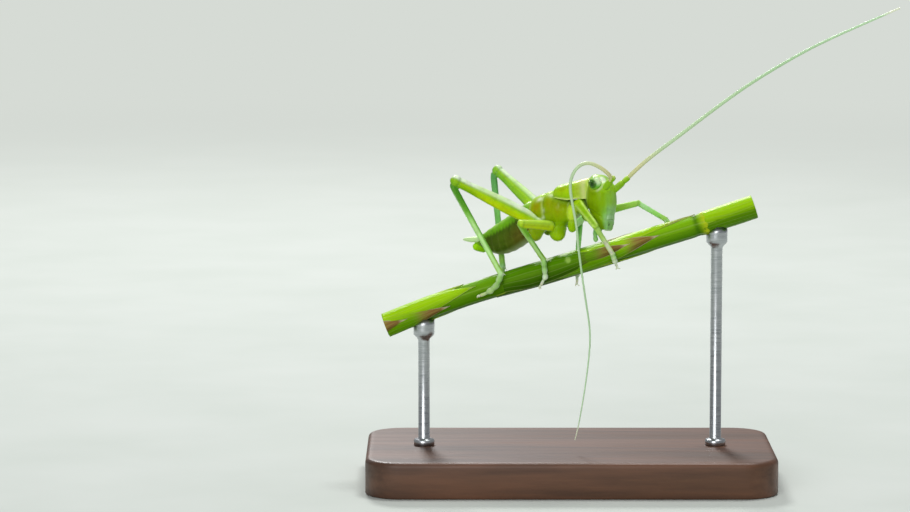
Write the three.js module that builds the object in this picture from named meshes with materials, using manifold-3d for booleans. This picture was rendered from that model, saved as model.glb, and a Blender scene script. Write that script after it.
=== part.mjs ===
// A bush-cricket nymph, life size, standing on a cut length of jointed grass spike, on a plain stand.
// Millimetres, +Z up. The origin is the centre of the stand's flat underside. +X runs up the spike's slope.
import * as THREE from 'three';
import { mergeVertices } from 'three/addons/utils/BufferGeometryUtils.js';
import Module from 'manifold-3d';

const wasm = await Module();
wasm.setup();

// ---------- driving dimensions ----------
const JOINT_GAP = 0.03; // space left where one piece is cut by its neighbour

const HEADING = THREE.MathUtils.degToRad(-28); // the body's heading, turned from +X towards -Y
const THORAX_AT = [-0.85, 0]; // the point of the body's midline that distances are measured from
const HEAD_AT = [2.3, -1.7, 23.7]; // centre of the head capsule
const HEAD_ROLL = THREE.MathUtils.degToRad(9); // the head leans to its left

// Each row: distance forward along the midline, height of the back, height of the belly, half width.
const TRUNK = [
  [-7.28, 19.8, 19.36, 0.22],
  [-6.87, 20.2, 19.05, 0.55],
  [-6.15, 20.8, 18.8, 0.85],
  [-5.07, 21.58, 18.66, 1.18],
  [-4.08, 22.38, 18.98, 1.32],
  [-3.0, 23.32, 19.85, 1.4],
  [-1.8, 24.0, 20.8, 1.34],
  [-0.6, 24.5, 21.15, 1.34],
  [0.6, 24.88, 21.4, 1.28],
  [1.6, 25.18, 22.2, 1.12],
  [2.5, 25.3, 23.0, 0.9],
];
const ABDOMEN_BEND = { from: -2.2, slope: 0.31 };
const TRUNK_CUTS = { waist: -2.3, midThorax: -0.9, neckShield: 1.2 }; // where the trunk is parted
const PRONOTUM = [
  [-0.42, 24.7, 24.3, 0.5],
  [-0.2, 24.86, 24.02, 1.12],
  [0.4, 25.04, 23.68, 1.42],
  [1.3, 25.3, 23.52, 1.46],
  [2.2, 25.55, 23.75, 1.36],
  [2.78, 25.68, 24.2, 1.12],
  [2.95, 25.62, 24.5, 0.8],
];

// Each row: height over the head's centre, middle's offset forward, half width, front depth, back depth.
const HEAD = [
  [2.24, -0.12, 0.3, 0.26, 0.3],
  [2.05, -0.04, 0.78, 0.6, 0.72],
  [1.6, 0.04, 1.12, 0.92, 1.0],
  [1.0, 0.1, 1.28, 1.16, 1.16],
  [0.2, 0.16, 1.36, 1.26, 1.2],
  [-0.6, 0.3, 1.2, 1.1, 1.08],
  [-1.2, 0.44, 1.0, 0.86, 0.84],
  [-1.8, 0.62, 0.86, 0.62, 0.64],
  [-2.32, 0.8, 0.66, 0.38, 0.46],
];
const LABRUM = [
  [-0.75, 1.18, 0.44, 0.16, 0.3],
  [-1.15, 1.15, 0.66, 0.2, 0.3],
  [-1.75, 1.12, 0.68, 0.2, 0.32],
  [-2.24, 1.08, 0.62, 0.17, 0.34],
  [-2.4, 1.04, 0.46, 0.12, 0.28],
];
const EYE = { forward: 0.09, side: 1.12, height: 1.44, long: 0.54, deep: 0.52, tall: 0.58 };

// Feelers: the base is a thick first piece with a bead on it; each length is then [mm, heading in degrees
// at its end], headings measured in the plane the feeler lies in, from +X up towards +Z.
const FEELER_RADIUS = { base: 0.27, tip: 0.25 };
const FEELERS = {
  right: {
    socket: [2.86, -2.82, 25.1],
    bead: [3.4, -3.24, 25.8],
    bendsFrom: 140,
    plane: -3.9,
    lengths: {
      arch: [
        [0.7, 132], [0.7, 150], [0.66, 156], [0.51, 178], [0.51, 208], [0.55, 230], [0.6, 246], [1.2, 276],
      ],
      fall: [[1.7, 282], [0.85, 281], [1.65, 272.5], [0.9, 277.5], [4.6, 279]],
      hang: [[1.7, 278], [0.7, 272], [1.75, 264.5], [2.15, 262.5]],
      tip: [[2.1, 260.5], [1.75, 259.5], [1.2, 255]],
    },
  },
  left: {
    socket: [3.62, -1.86, 24.72],
    bead: [4.66, -1.9, 25.66],
    bendsFrom: 47,
    plane: -1.9,
    lengths: {
      near: [[1.33, 43], [1.86, 36.5], [3.8, 37.6]],
      mid: [[3.3, 36.5], [3.6, 32], [3.2, 29.5]],
      tip: [[3.2, 24.8], [3.0, 23.4], [3.1, 24.2]],
    },
  },
};
const SCAPE = 0.31;

// Legs: joints from the body outwards, with radii at the start and end of each segment. A hind shin hangs
// from under the knee, at its own point.
const LEGS = {
  fore_right: {
    coxa: [[0.0, -1.22, 23.1], [0.1, -1.5, 21.55]], coxaRadius: [0.5, 0.46],
    hip: [0.62, -2.0, 23.5], knee: [1.84, -4.4, 22.06], ankle: [3.4, -1.36, 19.38],
    femurRadius: [0.52, 0.36], tibiaRadius: [0.3, 0.26],
    toes: [[3.6, -1.38, 18.84], [3.86, -1.3, 18.14]],
  },
  fore_left: {
    coxa: [[1.0, 0.2, 23.1], [1.38, 0.6, 22.15]], coxaRadius: [0.44, 0.4],
    hip: [1.58, 0.62, 22.3], knee: [5.7, 1.6, 23.2], ankle: [8.0, 1.4, 21.86],
    femurRadius: [0.42, 0.29], tibiaRadius: [0.27, 0.26],
    toes: [[8.5, 1.42, 21.2], [9.1, 1.3, 20.5]],
  },
  mid_right: {
    coxa: [[-1.02, -0.25, 22.1], [-1.08, -0.86, 20.98]], coxaRadius: [0.72, 0.72],
    hip: [-1.84, -1.5, 21.66], knee: [-4.16, -3.96, 22.1],
    shin: [-4.26, -4.02, 22.02], ankle: [-2.26, -1.38, 18.82],
    femurRadius: [0.47, 0.37], tibiaRadius: [0.3, 0.26],
    toes: [[-2.12, -1.4, 17.4], [-2.62, -1.2, 16.36]],
  },
  mid_left: {
    coxa: [[-0.2, 0.9, 22.4], [-0.02, 1.5, 21.66]], coxaRadius: [0.56, 0.56],
    hip: [0.3, 1.9, 21.4], knee: [0.98, 4.5, 21.5], ankle: [0.64, 1.5, 18.5],
    femurRadius: [0.46, 0.38], tibiaRadius: [0.3, 0.26],
    toes: [[0.62, 1.42, 17.3], [0.6, 1.1, 16.3]],
  },
  hind_right: {
    coxa: [[-2.8, 0.3, 21.8], [-2.9, -0.1, 20.96]], coxaRadius: [0.76, 0.78],
    hip: [-2.6, -0.84, 21.8], knee: [-9.62, -1.0, 25.28],
    shin: [-9.8, -1.0, 24.92], ankle: [-5.76, -1.38, 17.56],
    femurRadius: [0.46, 0.47], femurSwell: 0.74, tibiaRadius: [0.33, 0.26],
    toes: [[-6.18, -1.46, 16.62], [-6.95, -1.42, 16.02], [-7.9, -1.3, 15.66]],
  },
  hind_left: {
    coxa: [[-1.9, 1.7, 21.9], [-1.76, 2.16, 20.98]], coxaRadius: [0.6, 0.58],
    hip: [-1.6, 2.3, 21.68], knee: [-6.1, 6.85, 25.4],
    shin: [-6.34, 6.95, 25.06], ankle: [-5.6, 2.05, 17.7],
    femurRadius: [0.5, 0.42], femurSwell: 0.74, tibiaRadius: [0.32, 0.26],
    toes: [[-5.9, 1.66, 16.72], [-6.5, 1.46, 16.0], [-7.3, 1.34, 15.66]],
  },
};
const FEMUR_WIDTH = 0.62; // a femur is flatter from side to side than it is tall
const TOE_RADIUS = [0.26, 0.28, 0.25];
const PALPS = {
  right: [[2.4, -2.2, 21.9], [1.8, -2.8, 21.42], [2.04, -2.84, 20.6]],
  left: [[2.9, -1.2, 21.85], [2.5, -0.62, 21.5], [2.3, -0.4, 20.9]],
};
const PALP_RADIUS = 0.25;

// Tail: the lobe that closes the abdomen, and two soft pointed cerci over it.
const TAIL_LOBE = [[-6.9, 2.05, 19.5], [-7.72, 2.3, 19.24]];
const TAIL_LOBE_RADIUS = [0.52, 0.4];
const CERCI = {
  right: [[-7.1, 1.8, 19.96], [-8.76, 2.1, 19.84]],
  left: [[-6.9, 2.45, 19.96], [-8.4, 3.1, 19.78]],
};
const CERCUS_RADIUS = [0.28, 0.25];

// Perch: a grass spike of short overlapping lengths, each widening to a rim over the next.
const PERCH_LINE = [
  [-15.6, 13.04], [-8.5, 15.72], [-1.5, 17.76], [5.5, 19.94], [11, 21.64], [15.6, 23.14],
];
const PERCH_RADIUS = { foot: 0.98, rim: 1.14 };
const PERCH_LENGTHS = 7;

const BASE = { long: 34, wide: 18, thick: 3, corner: 3, edge: 0.4 };
const ROD = { radius: 0.5, at: { low: -12.2, high: 12.2 } };
const SADDLE = { radius: 0.9, tall: 1.4, flare: 0.3 };

// ---------- directions ----------
const forward = new THREE.Vector3(Math.cos(HEADING), Math.sin(HEADING), 0);
const up = new THREE.Vector3(0, 0, 1);
const left = new THREE.Vector3().crossVectors(up, forward);

const vec = (p) => new THREE.Vector3(...p);

// A point over the midline, which runs straight to the waist and then curves gently to the right.
function onMidline(along, height) {
  const behindWaist = Math.max(0, ABDOMEN_BEND.from - along);
  const aside = (ABDOMEN_BEND.slope * behindWaist ** 2) / (behindWaist + 1);
  const point = new THREE.Vector3(THORAX_AT[0], THORAX_AT[1], height);
  return point.addScaledVector(forward, along).addScaledVector(left, -aside);
}

// A closed geometry as a solid that can be joined and cut.
function solidOf(geometry) {
  geometry.deleteAttribute('normal');
  geometry.deleteAttribute('uv');
  const merged = mergeVertices(geometry, 1e-4);
  return new wasm.Manifold(
    new wasm.Mesh({
      numProp: 3,
      vertProperties: merged.attributes.position.array,
      triVerts: new Uint32Array(merged.index.array),
    }),
  );
}

// ---------- geometries from rings of points ----------
// One ring round `centre`: `a` is the reach along axis A, `plus` and `minus` the reach along +B and -B.
function ring(centre, A, B, a, plus, minus, around, power = 2) {
  const soften = (x) => Math.sign(x) * Math.abs(x) ** (2 / power);
  const points = [];
  for (let k = 0; k < around; k++) {
    const turn = (2 * Math.PI * k) / around;
    const across = soften(Math.cos(turn)) * a;
    const lift = soften(Math.sin(turn));
    points.push(
      centre.clone().addScaledVector(A, across).addScaledVector(B, lift * (lift > 0 ? plus : minus)),
    );
  }
  return points;
}

// Closes a stack of rings with a fan at each end. A cross B points from the first ring to the last.
function closedStack(rings) {
  const around = rings[0].length;
  const triangles = [];
  for (let r = 0; r + 1 < rings.length; r++) {
    for (let k = 0; k < around; k++) {
      const a = r * around + k;
      const b = r * around + ((k + 1) % around);
      triangles.push(a, b, b + around, a, b + around, a + around);
    }
  }
  const points = rings.flat();
  const lastRing = (rings.length - 1) * around;
  for (const [start, flip] of [[0, true], [lastRing, false]]) {
    const middle = new THREE.Vector3();
    for (let k = 0; k < around; k++) middle.addScaledVector(points[start + k], 1 / around);
    const centre = points.push(middle) - 1;
    for (let k = 0; k < around; k++) {
      const a = start + k;
      const b = start + ((k + 1) % around);
      triangles.push(centre, flip ? b : a, flip ? a : b);
    }
  }
  const geometry = new THREE.BufferGeometry().setFromPoints(points);
  geometry.setIndex(triangles);
  return geometry;
}

// Smooth value at `t` (0 to 1) through evenly spaced values.
function smoothThrough(values, t) {
  const curve = new THREE.CatmullRomCurve3(values.map((y, i) => new THREE.Vector3(i, y, 0)));
  return curve.getPoint(t).y;
}

// A row of sizes at `t` (0 to 1) along a table of rows.
function rowAt(rows, t) {
  return rows[0].map((_, column) => smoothThrough(rows.map((row) => row[column]), t));
}

// A limb along a path of joints, with rounded ends. `flat` narrows it sideways, `swell` thickens it near
// its start, `hint` is a direction the path never runs along.
function limb(path, radii, { grow = 0, around = 7, steps = 2, flat = 1, swell = 0, hint = null } = {}) {
  const curve = new THREE.CatmullRomCurve3(path.map(vec), false, 'centripetal');
  const chord = vec(path[path.length - 1]).sub(vec(path[0])).normalize();
  const across = hint || (Math.abs(chord.z) > 0.85 ? new THREE.Vector3(1, 0, 0) : up);
  const count = steps * (path.length - 1);
  const radiusAt = (t) => {
    const base = radii.length > 2 ? smoothThrough(radii, t) : THREE.MathUtils.lerp(radii[0], radii[1], t);
    const belly = swell ? (swell - radii[0]) * Math.sin(Math.PI * Math.min(1, t * 1.35) ** 0.62) : 0;
    return base + Math.max(0, belly) + grow;
  };
  const sectionAt = (t, shift, shrink) => {
    const tangent = curve.getTangent(t);
    const A = new THREE.Vector3().crossVectors(across, tangent).normalize();
    const B = new THREE.Vector3().crossVectors(tangent, A);
    const r = radiusAt(t);
    const centre = curve.getPoint(t).addScaledVector(tangent, shift * r);
    const side = (flat < 1 ? flat * (r - grow) + grow : r) * shrink;
    return ring(centre, A, B, side, r * shrink, r * shrink, around);
  };
  const ends = around > 7 ? [[0.94, 0.34], [0.64, 0.77]] : [[0.8, 0.6]];
  const rings = ends.map(([shift, shrink]) => sectionAt(0, -shift, shrink));
  for (let i = 0; i <= count; i++) rings.push(sectionAt(i / count, 0, 1));
  ends.reverse().forEach(([shift, shrink]) => rings.push(sectionAt(1, shift, shrink)));
  return solidOf(closedStack(rings));
}

// Rows of [along, top, bottom, half width] become a closed body on the midline.
function bodyAlong(rows, { grow = 0, around = 18, between = 2, power = 2.3 } = {}) {
  const rings = [];
  const count = between * (rows.length - 1);
  for (let i = 0; i <= count; i++) {
    const [along, top, bottom, wide] = rowAt(rows, i / count);
    const tall = (top - bottom) / 2 + grow;
    const shift = i === 0 ? -grow : i === count ? grow : 0;
    const centre = onMidline(along + shift, (top + bottom) / 2);
    rings.push(ring(centre, left, up, wide + grow, tall, tall, around, power));
  }
  return solidOf(closedStack(rings));
}

// The head's own frame: x forward, y to its left, z up.
const headFrame = new THREE.Matrix4()
  .makeTranslation(...HEAD_AT)
  .multiply(new THREE.Matrix4().makeRotationZ(HEADING))
  .multiply(new THREE.Matrix4().makeRotationX(-HEAD_ROLL));

// Rows of [height, offset, half width, front, back] become a closed body in the head's frame.
function headBody(rows, { grow = 0, around = 16, between = 2, power = 2.35 } = {}) {
  const X = new THREE.Vector3(1, 0, 0);
  const Y = new THREE.Vector3(0, 1, 0);
  const rings = [];
  const count = between * (rows.length - 1);
  for (let i = 0; i <= count; i++) {
    const [height, offset, wide, front, back] = rowAt(rows, i / count);
    const shift = i === 0 ? grow : i === count ? -grow : 0;
    const centre = new THREE.Vector3(offset, 0, height + shift);
    rings.push(ring(centre, Y, X, wide + grow, front + grow, back + grow, around, power));
  }
  return solidOf(closedStack(rings).applyMatrix4(headFrame));
}

function eye(side, grow = 0) {
  const ball = new THREE.SphereGeometry(1, 12, 8);
  ball.scale(EYE.long + grow, EYE.deep + grow, EYE.tall + grow);
  ball.translate(EYE.forward, side * EYE.side, EYE.height);
  return solidOf(ball.applyMatrix4(headFrame));
}

// Points of a feeler: from its bead, through lengths that each turn smoothly to a new heading.
function feelerPaths(feeler) {
  const paths = {};
  const at = vec(feeler.bead);
  let heading = feeler.bendsFrom;
  for (const [name, bends] of Object.entries(feeler.lengths)) {
    const path = [at.toArray()];
    for (const [length, end] of bends) {
      const halves = 2;
      for (let i = 0; i < halves; i++) {
        const turned = THREE.MathUtils.degToRad(heading + ((end - heading) * (i + 0.5)) / halves);
        at.x += (Math.cos(turned) * length) / halves;
        at.z += (Math.sin(turned) * length) / halves;
        at.y += (feeler.plane - at.y) * 0.45;
        path.push(at.toArray());
      }
      heading = end;
    }
    paths[name] = path;
  }
  return paths;
}

// ---------- named pieces ----------
const group = new THREE.Group();
group.name = 'bush_cricket_nymph';
const COLOUR = {
  skin: 0x8fbf1e,
  olive: 0x4d6a1c,
  leaf: 0x7ba61a,
  pale: 0xc4e79a,
  shin: 0x7db862,
  eye: 0x5f9a22,
  spike: 0x7ea61c,
  wood: 0x5c3d29,
  steel: 0xb8bbc0,
};

function toGeometry(solid) {
  const mesh = solid.getMesh();
  const geometry = new THREE.BufferGeometry();
  geometry.setAttribute('position', new THREE.BufferAttribute(mesh.vertProperties, 3));
  geometry.setIndex(new THREE.BufferAttribute(mesh.triVerts, 1));
  return geometry;
}

// Adds a piece whose own origin is `origin`, less the grown solids in `minus`. Where those cuts leave a
// sliver behind, only the largest body is kept.
function add(name, solid, origin, colour, options = {}) {
  const { minus = [], roughness = 0.45, metalness = 0, parent = group } = options;
  const cut = minus.reduce((rest, tool) => rest.subtract(tool), solid);
  const shape = cut.decompose().reduce((most, body) => (body.volume() > most.volume() ? body : most));
  const geometry = toGeometry(shape);
  geometry.translate(-origin[0], -origin[1], -origin[2]);
  const material = new THREE.MeshStandardMaterial({ color: colour, roughness, metalness, flatShading: true });
  const mesh = new THREE.Mesh(geometry, material);
  mesh.name = name;
  mesh.position.set(...origin);
  parent.add(mesh);
}

// Perch: rings of a grass spike, each length flaring to a rim.
const perchCurve = new THREE.CatmullRomCurve3(PERCH_LINE.map(([x, z]) => new THREE.Vector3(x, 0, z)));
function perch(grow = 0) {
  const rings = [];
  const Y = new THREE.Vector3(0, 1, 0);
  const put = (t, radius) => {
    const tangent = perchCurve.getTangentAt(t);
    const B = new THREE.Vector3().crossVectors(tangent, Y);
    rings.push(ring(perchCurve.getPointAt(t), Y, B, radius + grow, radius + grow, radius + grow, 12));
  };
  for (let i = 0; i < PERCH_LENGTHS; i++) {
    for (const [part, swell] of [[0.02, 0], [0.4, 0.45], [0.86, 1], [0.97, 0.6]]) {
      const radius = THREE.MathUtils.lerp(PERCH_RADIUS.foot, PERCH_RADIUS.rim, swell);
      put((i + part) / PERCH_LENGTHS, radius);
    }
  }
  return solidOf(closedStack(rings));
}
const perchGrown = perch(JOINT_GAP);
add('perch_spike', perch(), [0, 0, perchCurve.getPointAt(0.5).z], COLOUR.spike, { roughness: 0.5 });

// Trunk, made whole and parted by thin cuts square to the back.
const shieldShape = { power: 2.6, between: 1, around: 20 };
const pronotumGrown = bodyAlong(PRONOTUM, { ...shieldShape, grow: JOINT_GAP });
const trunkGrown = bodyAlong(TRUNK, { grow: JOINT_GAP });
const trunk = bodyAlong(TRUNK).subtract(pronotumGrown);
const backSlope = THREE.MathUtils.degToRad(9);
const cutNormal = new THREE.Vector3()
  .addScaledVector(forward, Math.cos(backSlope))
  .addScaledVector(up, Math.sin(backSlope));
const cutOffset = (along) => onMidline(along, 22.4).dot(cutNormal);
const keepAhead = (solid, along) => solid.trimByPlane(cutNormal.toArray(), cutOffset(along) + JOINT_GAP / 2);
const keepBehind = (solid, along) =>
  solid.trimByPlane(cutNormal.clone().negate().toArray(), -cutOffset(along) + JOINT_GAP / 2);
const { waist, midThorax, neckShield } = TRUNK_CUTS;

const lobeShape = (grow) => limb(TAIL_LOBE, TAIL_LOBE_RADIUS, { grow, around: 9 });
const cercusShape = (side, grow) => limb(CERCI[side], CERCUS_RADIUS, { grow });
add('abdomen', keepBehind(trunk, waist), onMidline(-5, 20.5).toArray(), COLOUR.olive, {
  minus: [cercusShape('right', JOINT_GAP), cercusShape('left', JOINT_GAP)],
});
add('tail_lobe', lobeShape(0), TAIL_LOBE[0], COLOUR.skin, {
  minus: [trunkGrown, cercusShape('right', JOINT_GAP), cercusShape('left', JOINT_GAP)],
});
for (const side of ['right', 'left']) {
  add('cercus_' + side, cercusShape(side, 0), CERCI[side][0], COLOUR.pale);
}
const hindThorax = keepBehind(keepAhead(trunk, waist), midThorax);
add('metathorax', hindThorax, onMidline(-1.6, 22.5).toArray(), COLOUR.leaf);
const middleThorax = keepBehind(keepAhead(trunk, midThorax), neckShield);
add('mesothorax', middleThorax, onMidline(0.1, 23.0).toArray(), COLOUR.leaf);
add('pronotum', bodyAlong(PRONOTUM, shieldShape), onMidline(1.1, 24.4).toArray(), COLOUR.skin, {
  minus: [headBody(HEAD, { grow: JOINT_GAP })],
});

// Head, with eyes set into it and the lip plate in front of the mouth.
const headGrown = headBody(HEAD, { grow: JOINT_GAP });
const labrumGrown = headBody(LABRUM, { grow: JOINT_GAP, around: 12, between: 1 });
add('prothorax', keepAhead(trunk, neckShield), onMidline(1.7, 23.5).toArray(), COLOUR.skin, {
  minus: [headGrown],
});
add('head', headBody(HEAD), HEAD_AT, COLOUR.skin, {
  minus: [eye(1, JOINT_GAP), eye(-1, JOINT_GAP), labrumGrown],
});
add('labrum', headBody(LABRUM, { around: 12, between: 1 }), HEAD_AT, COLOUR.shin);
for (const [side, sign] of [['right', -1], ['left', 1]]) {
  add('eye_' + side, eye(sign), HEAD_AT, COLOUR.eye, { roughness: 0.15 });
  const palp = limb(PALPS[side], [PALP_RADIUS, PALP_RADIUS]);
  add('palp_' + side, palp, PALPS[side][0], COLOUR.pale, { minus: [headGrown, labrumGrown] });
}

// Feelers: a thick base at the head, then a few thin lengths.
for (const [side, feeler] of Object.entries(FEELERS)) {
  const feelerGroup = new THREE.Group();
  feelerGroup.name = 'feeler_' + side;
  group.add(feelerGroup);
  const base = (grow) => limb([feeler.socket, feeler.bead], [SCAPE, SCAPE * 0.92], { grow, steps: 2 });
  const eyes = [eye(1, JOINT_GAP), eye(-1, JOINT_GAP)];
  add('antenna_' + side + '_base', base(0), feeler.socket, COLOUR.skin, {
    minus: [headGrown, ...eyes],
    parent: feelerGroup,
  });
  const paths = feelerPaths(feeler);
  const hint = new THREE.Vector3(0, 1, 0);
  const shape = (path, grow) =>
    limb(path, [FEELER_RADIUS.base, FEELER_RADIUS.tip], { grow, around: 6, steps: 1, hint });
  let before = base(JOINT_GAP);
  for (const [name, path] of Object.entries(paths)) {
    add('antenna_' + side + '_' + name, shape(path, 0), path[0], COLOUR.pale, {
      minus: [before],
      parent: feelerGroup,
    });
    before = shape(path, JOINT_GAP);
  }
}

// Legs: coxa on the body, then femur, tibia and foot, each cut back by the piece before it.
for (const [name, leg] of Object.entries(LEGS)) {
  const legGroup = new THREE.Group();
  legGroup.name = 'leg_' + name;
  group.add(legGroup);
  const coxa = (grow) => limb(leg.coxa, leg.coxaRadius, { grow, around: 8, steps: 1 });
  const swell = leg.femurSwell || 0;
  const femurSize = { around: 8, steps: swell ? 6 : 2, flat: FEMUR_WIDTH, swell };
  const femur = (grow) => limb([leg.hip, leg.knee], leg.femurRadius, { ...femurSize, grow });
  const tibia = (grow) => limb([leg.shin || leg.knee, leg.ankle], leg.tibiaRadius, { grow, steps: 1 });
  const foot = limb([leg.ankle, ...leg.toes], TOE_RADIUS, { steps: 1 });
  const put = (segment, solid, origin, colour, minus) =>
    add(segment + '_' + name, solid, origin, colour, { minus, parent: legGroup });
  const body = [trunkGrown, pronotumGrown, headGrown];
  put('coxa', coxa(0), leg.coxa[1], COLOUR.skin, body);
  put('femur', femur(0), leg.hip, COLOUR.skin, [...body, coxa(JOINT_GAP)]);
  put('tibia', tibia(0), leg.knee, COLOUR.shin, [femur(JOINT_GAP), perchGrown]);
  put('foot', foot, leg.ankle, COLOUR.pale, [tibia(JOINT_GAP), perchGrown]);
}

// Stand: a flat base with eased edges, and two rods whose saddles carry the perch.
function baseOutline(inset) {
  const shape = new THREE.Shape();
  const [x, y] = [BASE.long / 2 - inset, BASE.wide / 2 - inset];
  const r = BASE.corner - inset;
  shape.moveTo(-x + r, -y);
  shape.lineTo(x - r, -y);
  shape.absarc(x - r, -y + r, r, -Math.PI / 2, 0);
  shape.lineTo(x, y - r);
  shape.absarc(x - r, y - r, r, 0, Math.PI / 2);
  shape.lineTo(-x + r, y);
  shape.absarc(-x + r, y - r, r, Math.PI / 2, Math.PI);
  shape.lineTo(-x, -y + r);
  shape.absarc(-x + r, -y + r, r, Math.PI, 1.5 * Math.PI);
  return shape;
}
const baseGeometry = new THREE.ExtrudeGeometry(baseOutline(BASE.edge), {
  depth: BASE.thick - BASE.edge,
  bevelEnabled: true,
  bevelThickness: BASE.edge,
  bevelSize: BASE.edge,
  bevelSegments: 1,
  curveSegments: 4,
});
const flatBase = solidOf(baseGeometry).trimByPlane([0, 0, 1], 0);
add('stand_base', flatBase, [0, 0, 0], COLOUR.wood, { roughness: 0.6 });

for (const [place, x] of Object.entries(ROD.at)) {
  const share = 0.5 + x / (PERCH_LINE.at(-1)[0] - PERCH_LINE[0][0]);
  const tall = perchCurve.getPointAt(share).z - BASE.thick;
  const neck = tall - PERCH_RADIUS.rim - 0.6 * SADDLE.tall;
  const outline = [
    [0, 0],
    [ROD.radius, 0],
    [ROD.radius, neck],
    [SADDLE.radius, neck + SADDLE.flare],
    [SADDLE.radius, neck + SADDLE.tall],
    [0, neck + SADDLE.tall],
  ];
  const turned = new THREE.LatheGeometry(outline.map((point) => new THREE.Vector2(...point)), 16);
  turned.rotateX(Math.PI / 2);
  turned.translate(x, 0, BASE.thick);
  add('stand_rod_' + place, solidOf(turned), [x, 0, BASE.thick], COLOUR.steel, {
    minus: [perchGrown],
    roughness: 0.3,
    metalness: 0.9,
  });
}

export default group;
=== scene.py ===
import math
import bpy
import numpy as np
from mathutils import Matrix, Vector
from mathutils.kdtree import KDTree


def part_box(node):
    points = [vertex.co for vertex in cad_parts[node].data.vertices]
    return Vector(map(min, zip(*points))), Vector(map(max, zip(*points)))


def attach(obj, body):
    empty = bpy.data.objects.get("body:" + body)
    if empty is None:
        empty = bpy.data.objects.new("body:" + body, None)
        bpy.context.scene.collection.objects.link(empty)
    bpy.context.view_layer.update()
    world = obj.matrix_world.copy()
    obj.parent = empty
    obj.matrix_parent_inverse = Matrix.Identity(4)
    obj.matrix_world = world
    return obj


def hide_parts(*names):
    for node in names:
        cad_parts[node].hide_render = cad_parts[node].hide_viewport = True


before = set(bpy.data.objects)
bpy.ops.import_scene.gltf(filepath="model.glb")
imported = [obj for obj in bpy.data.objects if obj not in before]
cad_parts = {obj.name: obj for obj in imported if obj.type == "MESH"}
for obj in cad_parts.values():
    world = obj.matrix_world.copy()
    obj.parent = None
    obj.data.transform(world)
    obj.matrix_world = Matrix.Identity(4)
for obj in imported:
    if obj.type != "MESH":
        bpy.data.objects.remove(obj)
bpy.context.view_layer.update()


# ---------------------------------------------------------------- floor, lamps and camera
# The model stands on a pale matt table under wide soft lamps, as in a quiet gallery. The
# camera looks level with the insect's right side and a little down on it.
MM = 0.001  # metres in a millimetre; lengths are in millimetres unless a comment says otherwise


def linear(code):
    """A colour written as six hex digits, as the shader's own linear values."""
    parts = np.array([int(code[i:i + 2], 16) for i in (0, 2, 4)]) / 255
    return np.where(parts <= 0.04045, parts / 12.92, ((parts + 0.055) / 1.055) ** 2.4)


def fill(tree, node, sockets):
    """Gives each named socket of a node a plain value, or joins it to another node."""
    for name, value in sockets.items():
        if isinstance(value, bpy.types.NodeSocket):
            tree.links.new(value, node.inputs[name])
        else:
            node.inputs[name].default_value = value


def add(tree, kind, sockets=None, **settings):
    """A new node with its settings and sockets filled in."""
    node = tree.nodes.new(kind)
    for name, value in settings.items():
        setattr(node, name, value)
    fill(tree, node, sockets or {})
    return node


def worked(tree, operation, *values):
    """The result of one step of arithmetic on sockets and numbers."""
    return add(tree, "ShaderNodeMath", dict(enumerate(values)), operation=operation).outputs[0]


def noise(tree, place, scale, detail, **more):
    """A cloudy grey at each place."""
    sockets = {"Vector": place, "Scale": scale, "Detail": detail, **more}
    return add(tree, "ShaderNodeTexNoise", sockets).outputs[0]


def ramp(tree, factor, *stops):
    """Colours or greys along a factor. Each stop is a place and a colour code or a number."""
    node = add(tree, "ShaderNodeValToRGB", {0: factor})
    for i, (place, value) in enumerate(stops):
        stop = node.color_ramp.elements[i] if i < 2 else node.color_ramp.elements.new(place)
        stop.position = place
        stop.color = (*(linear(value) if isinstance(value, str) else (value,) * 3), 1)
    return node.outputs["Color"]


def new_material(name, roughness):
    """An empty material with its shader, the shader's tree and the piece's own coordinates."""
    material = bpy.data.materials.new(name)
    material.use_nodes = True
    tree = material.node_tree
    shader = tree.nodes["Principled BSDF"]
    shader.inputs["Roughness"].default_value = roughness
    return material, tree, shader, add(tree, "ShaderNodeTexCoord").outputs["Object"]


def middle(node):
    """Centre of a CAD node's box, in millimetres."""
    return np.sum(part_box(node), 0) / 2 / MM


def unit(vector):
    return vector / np.linalg.norm(vector, axis=-1, keepdims=True)


def make_mesh(name, corners, faces, material):
    """A smooth mesh in one material, from corners in millimetres."""
    mesh = bpy.data.meshes.new(name)
    mesh.from_pydata((np.asarray(corners) * MM).tolist(), [], [list(map(int, face)) for face in faces])
    mesh.materials.append(material)
    mesh.shade_smooth()
    return mesh


def placed(name, data):
    """A new object at the origin that shows a mesh, a lamp or a camera."""
    piece = bpy.data.objects.new(name, data)
    bpy.context.collection.objects.link(piece)
    return piece


TABLE_HALF = 2600
TABLE_DROP = 0.01  # the table lies this far under the plinth
FADE_FROM, FADE_TO = 0.06, 0.40  # metres from the model where the table passes into the haze
floor_paint, tree, shader, place = new_material("pale_table", 0.75)
cloud = noise(tree, place, 60.0, 3.0)
fill(tree, shader, {
    "Base Color": ramp(tree, cloud, (0.3, "C6CCC5"), (0.7, "CCD1CB")), "Specular IOR Level": 0.05})
away = add(tree, "ShaderNodeVectorMath", {0: place}, operation="LENGTH").outputs["Value"]
fade = {0: away, 1: FADE_FROM, 2: FADE_TO}
fading = add(tree, "ShaderNodeMapRange", fade, interpolation_type="SMOOTHSTEP")
rays = add(tree, "ShaderNodeLightPath")
seen = worked(tree, "MAXIMUM", rays.outputs["Is Camera Ray"], rays.outputs["Is Glossy Ray"])
seen = worked(tree, "MAXIMUM", seen, rays.outputs["Is Transmission Ray"])
far_share = worked(tree, "MULTIPLY", seen, fading.outputs[0])
haze = add(tree, "ShaderNodeEmission", {"Color": (*linear("D6DBD5"), 1), "Strength": 1.0})
both = add(tree, "ShaderNodeMixShader", {0: far_share, 1: shader.outputs[0], 2: haze.outputs[0]})
tree.links.new(both.outputs[0], tree.nodes["Material Output"].inputs["Surface"])
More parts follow.
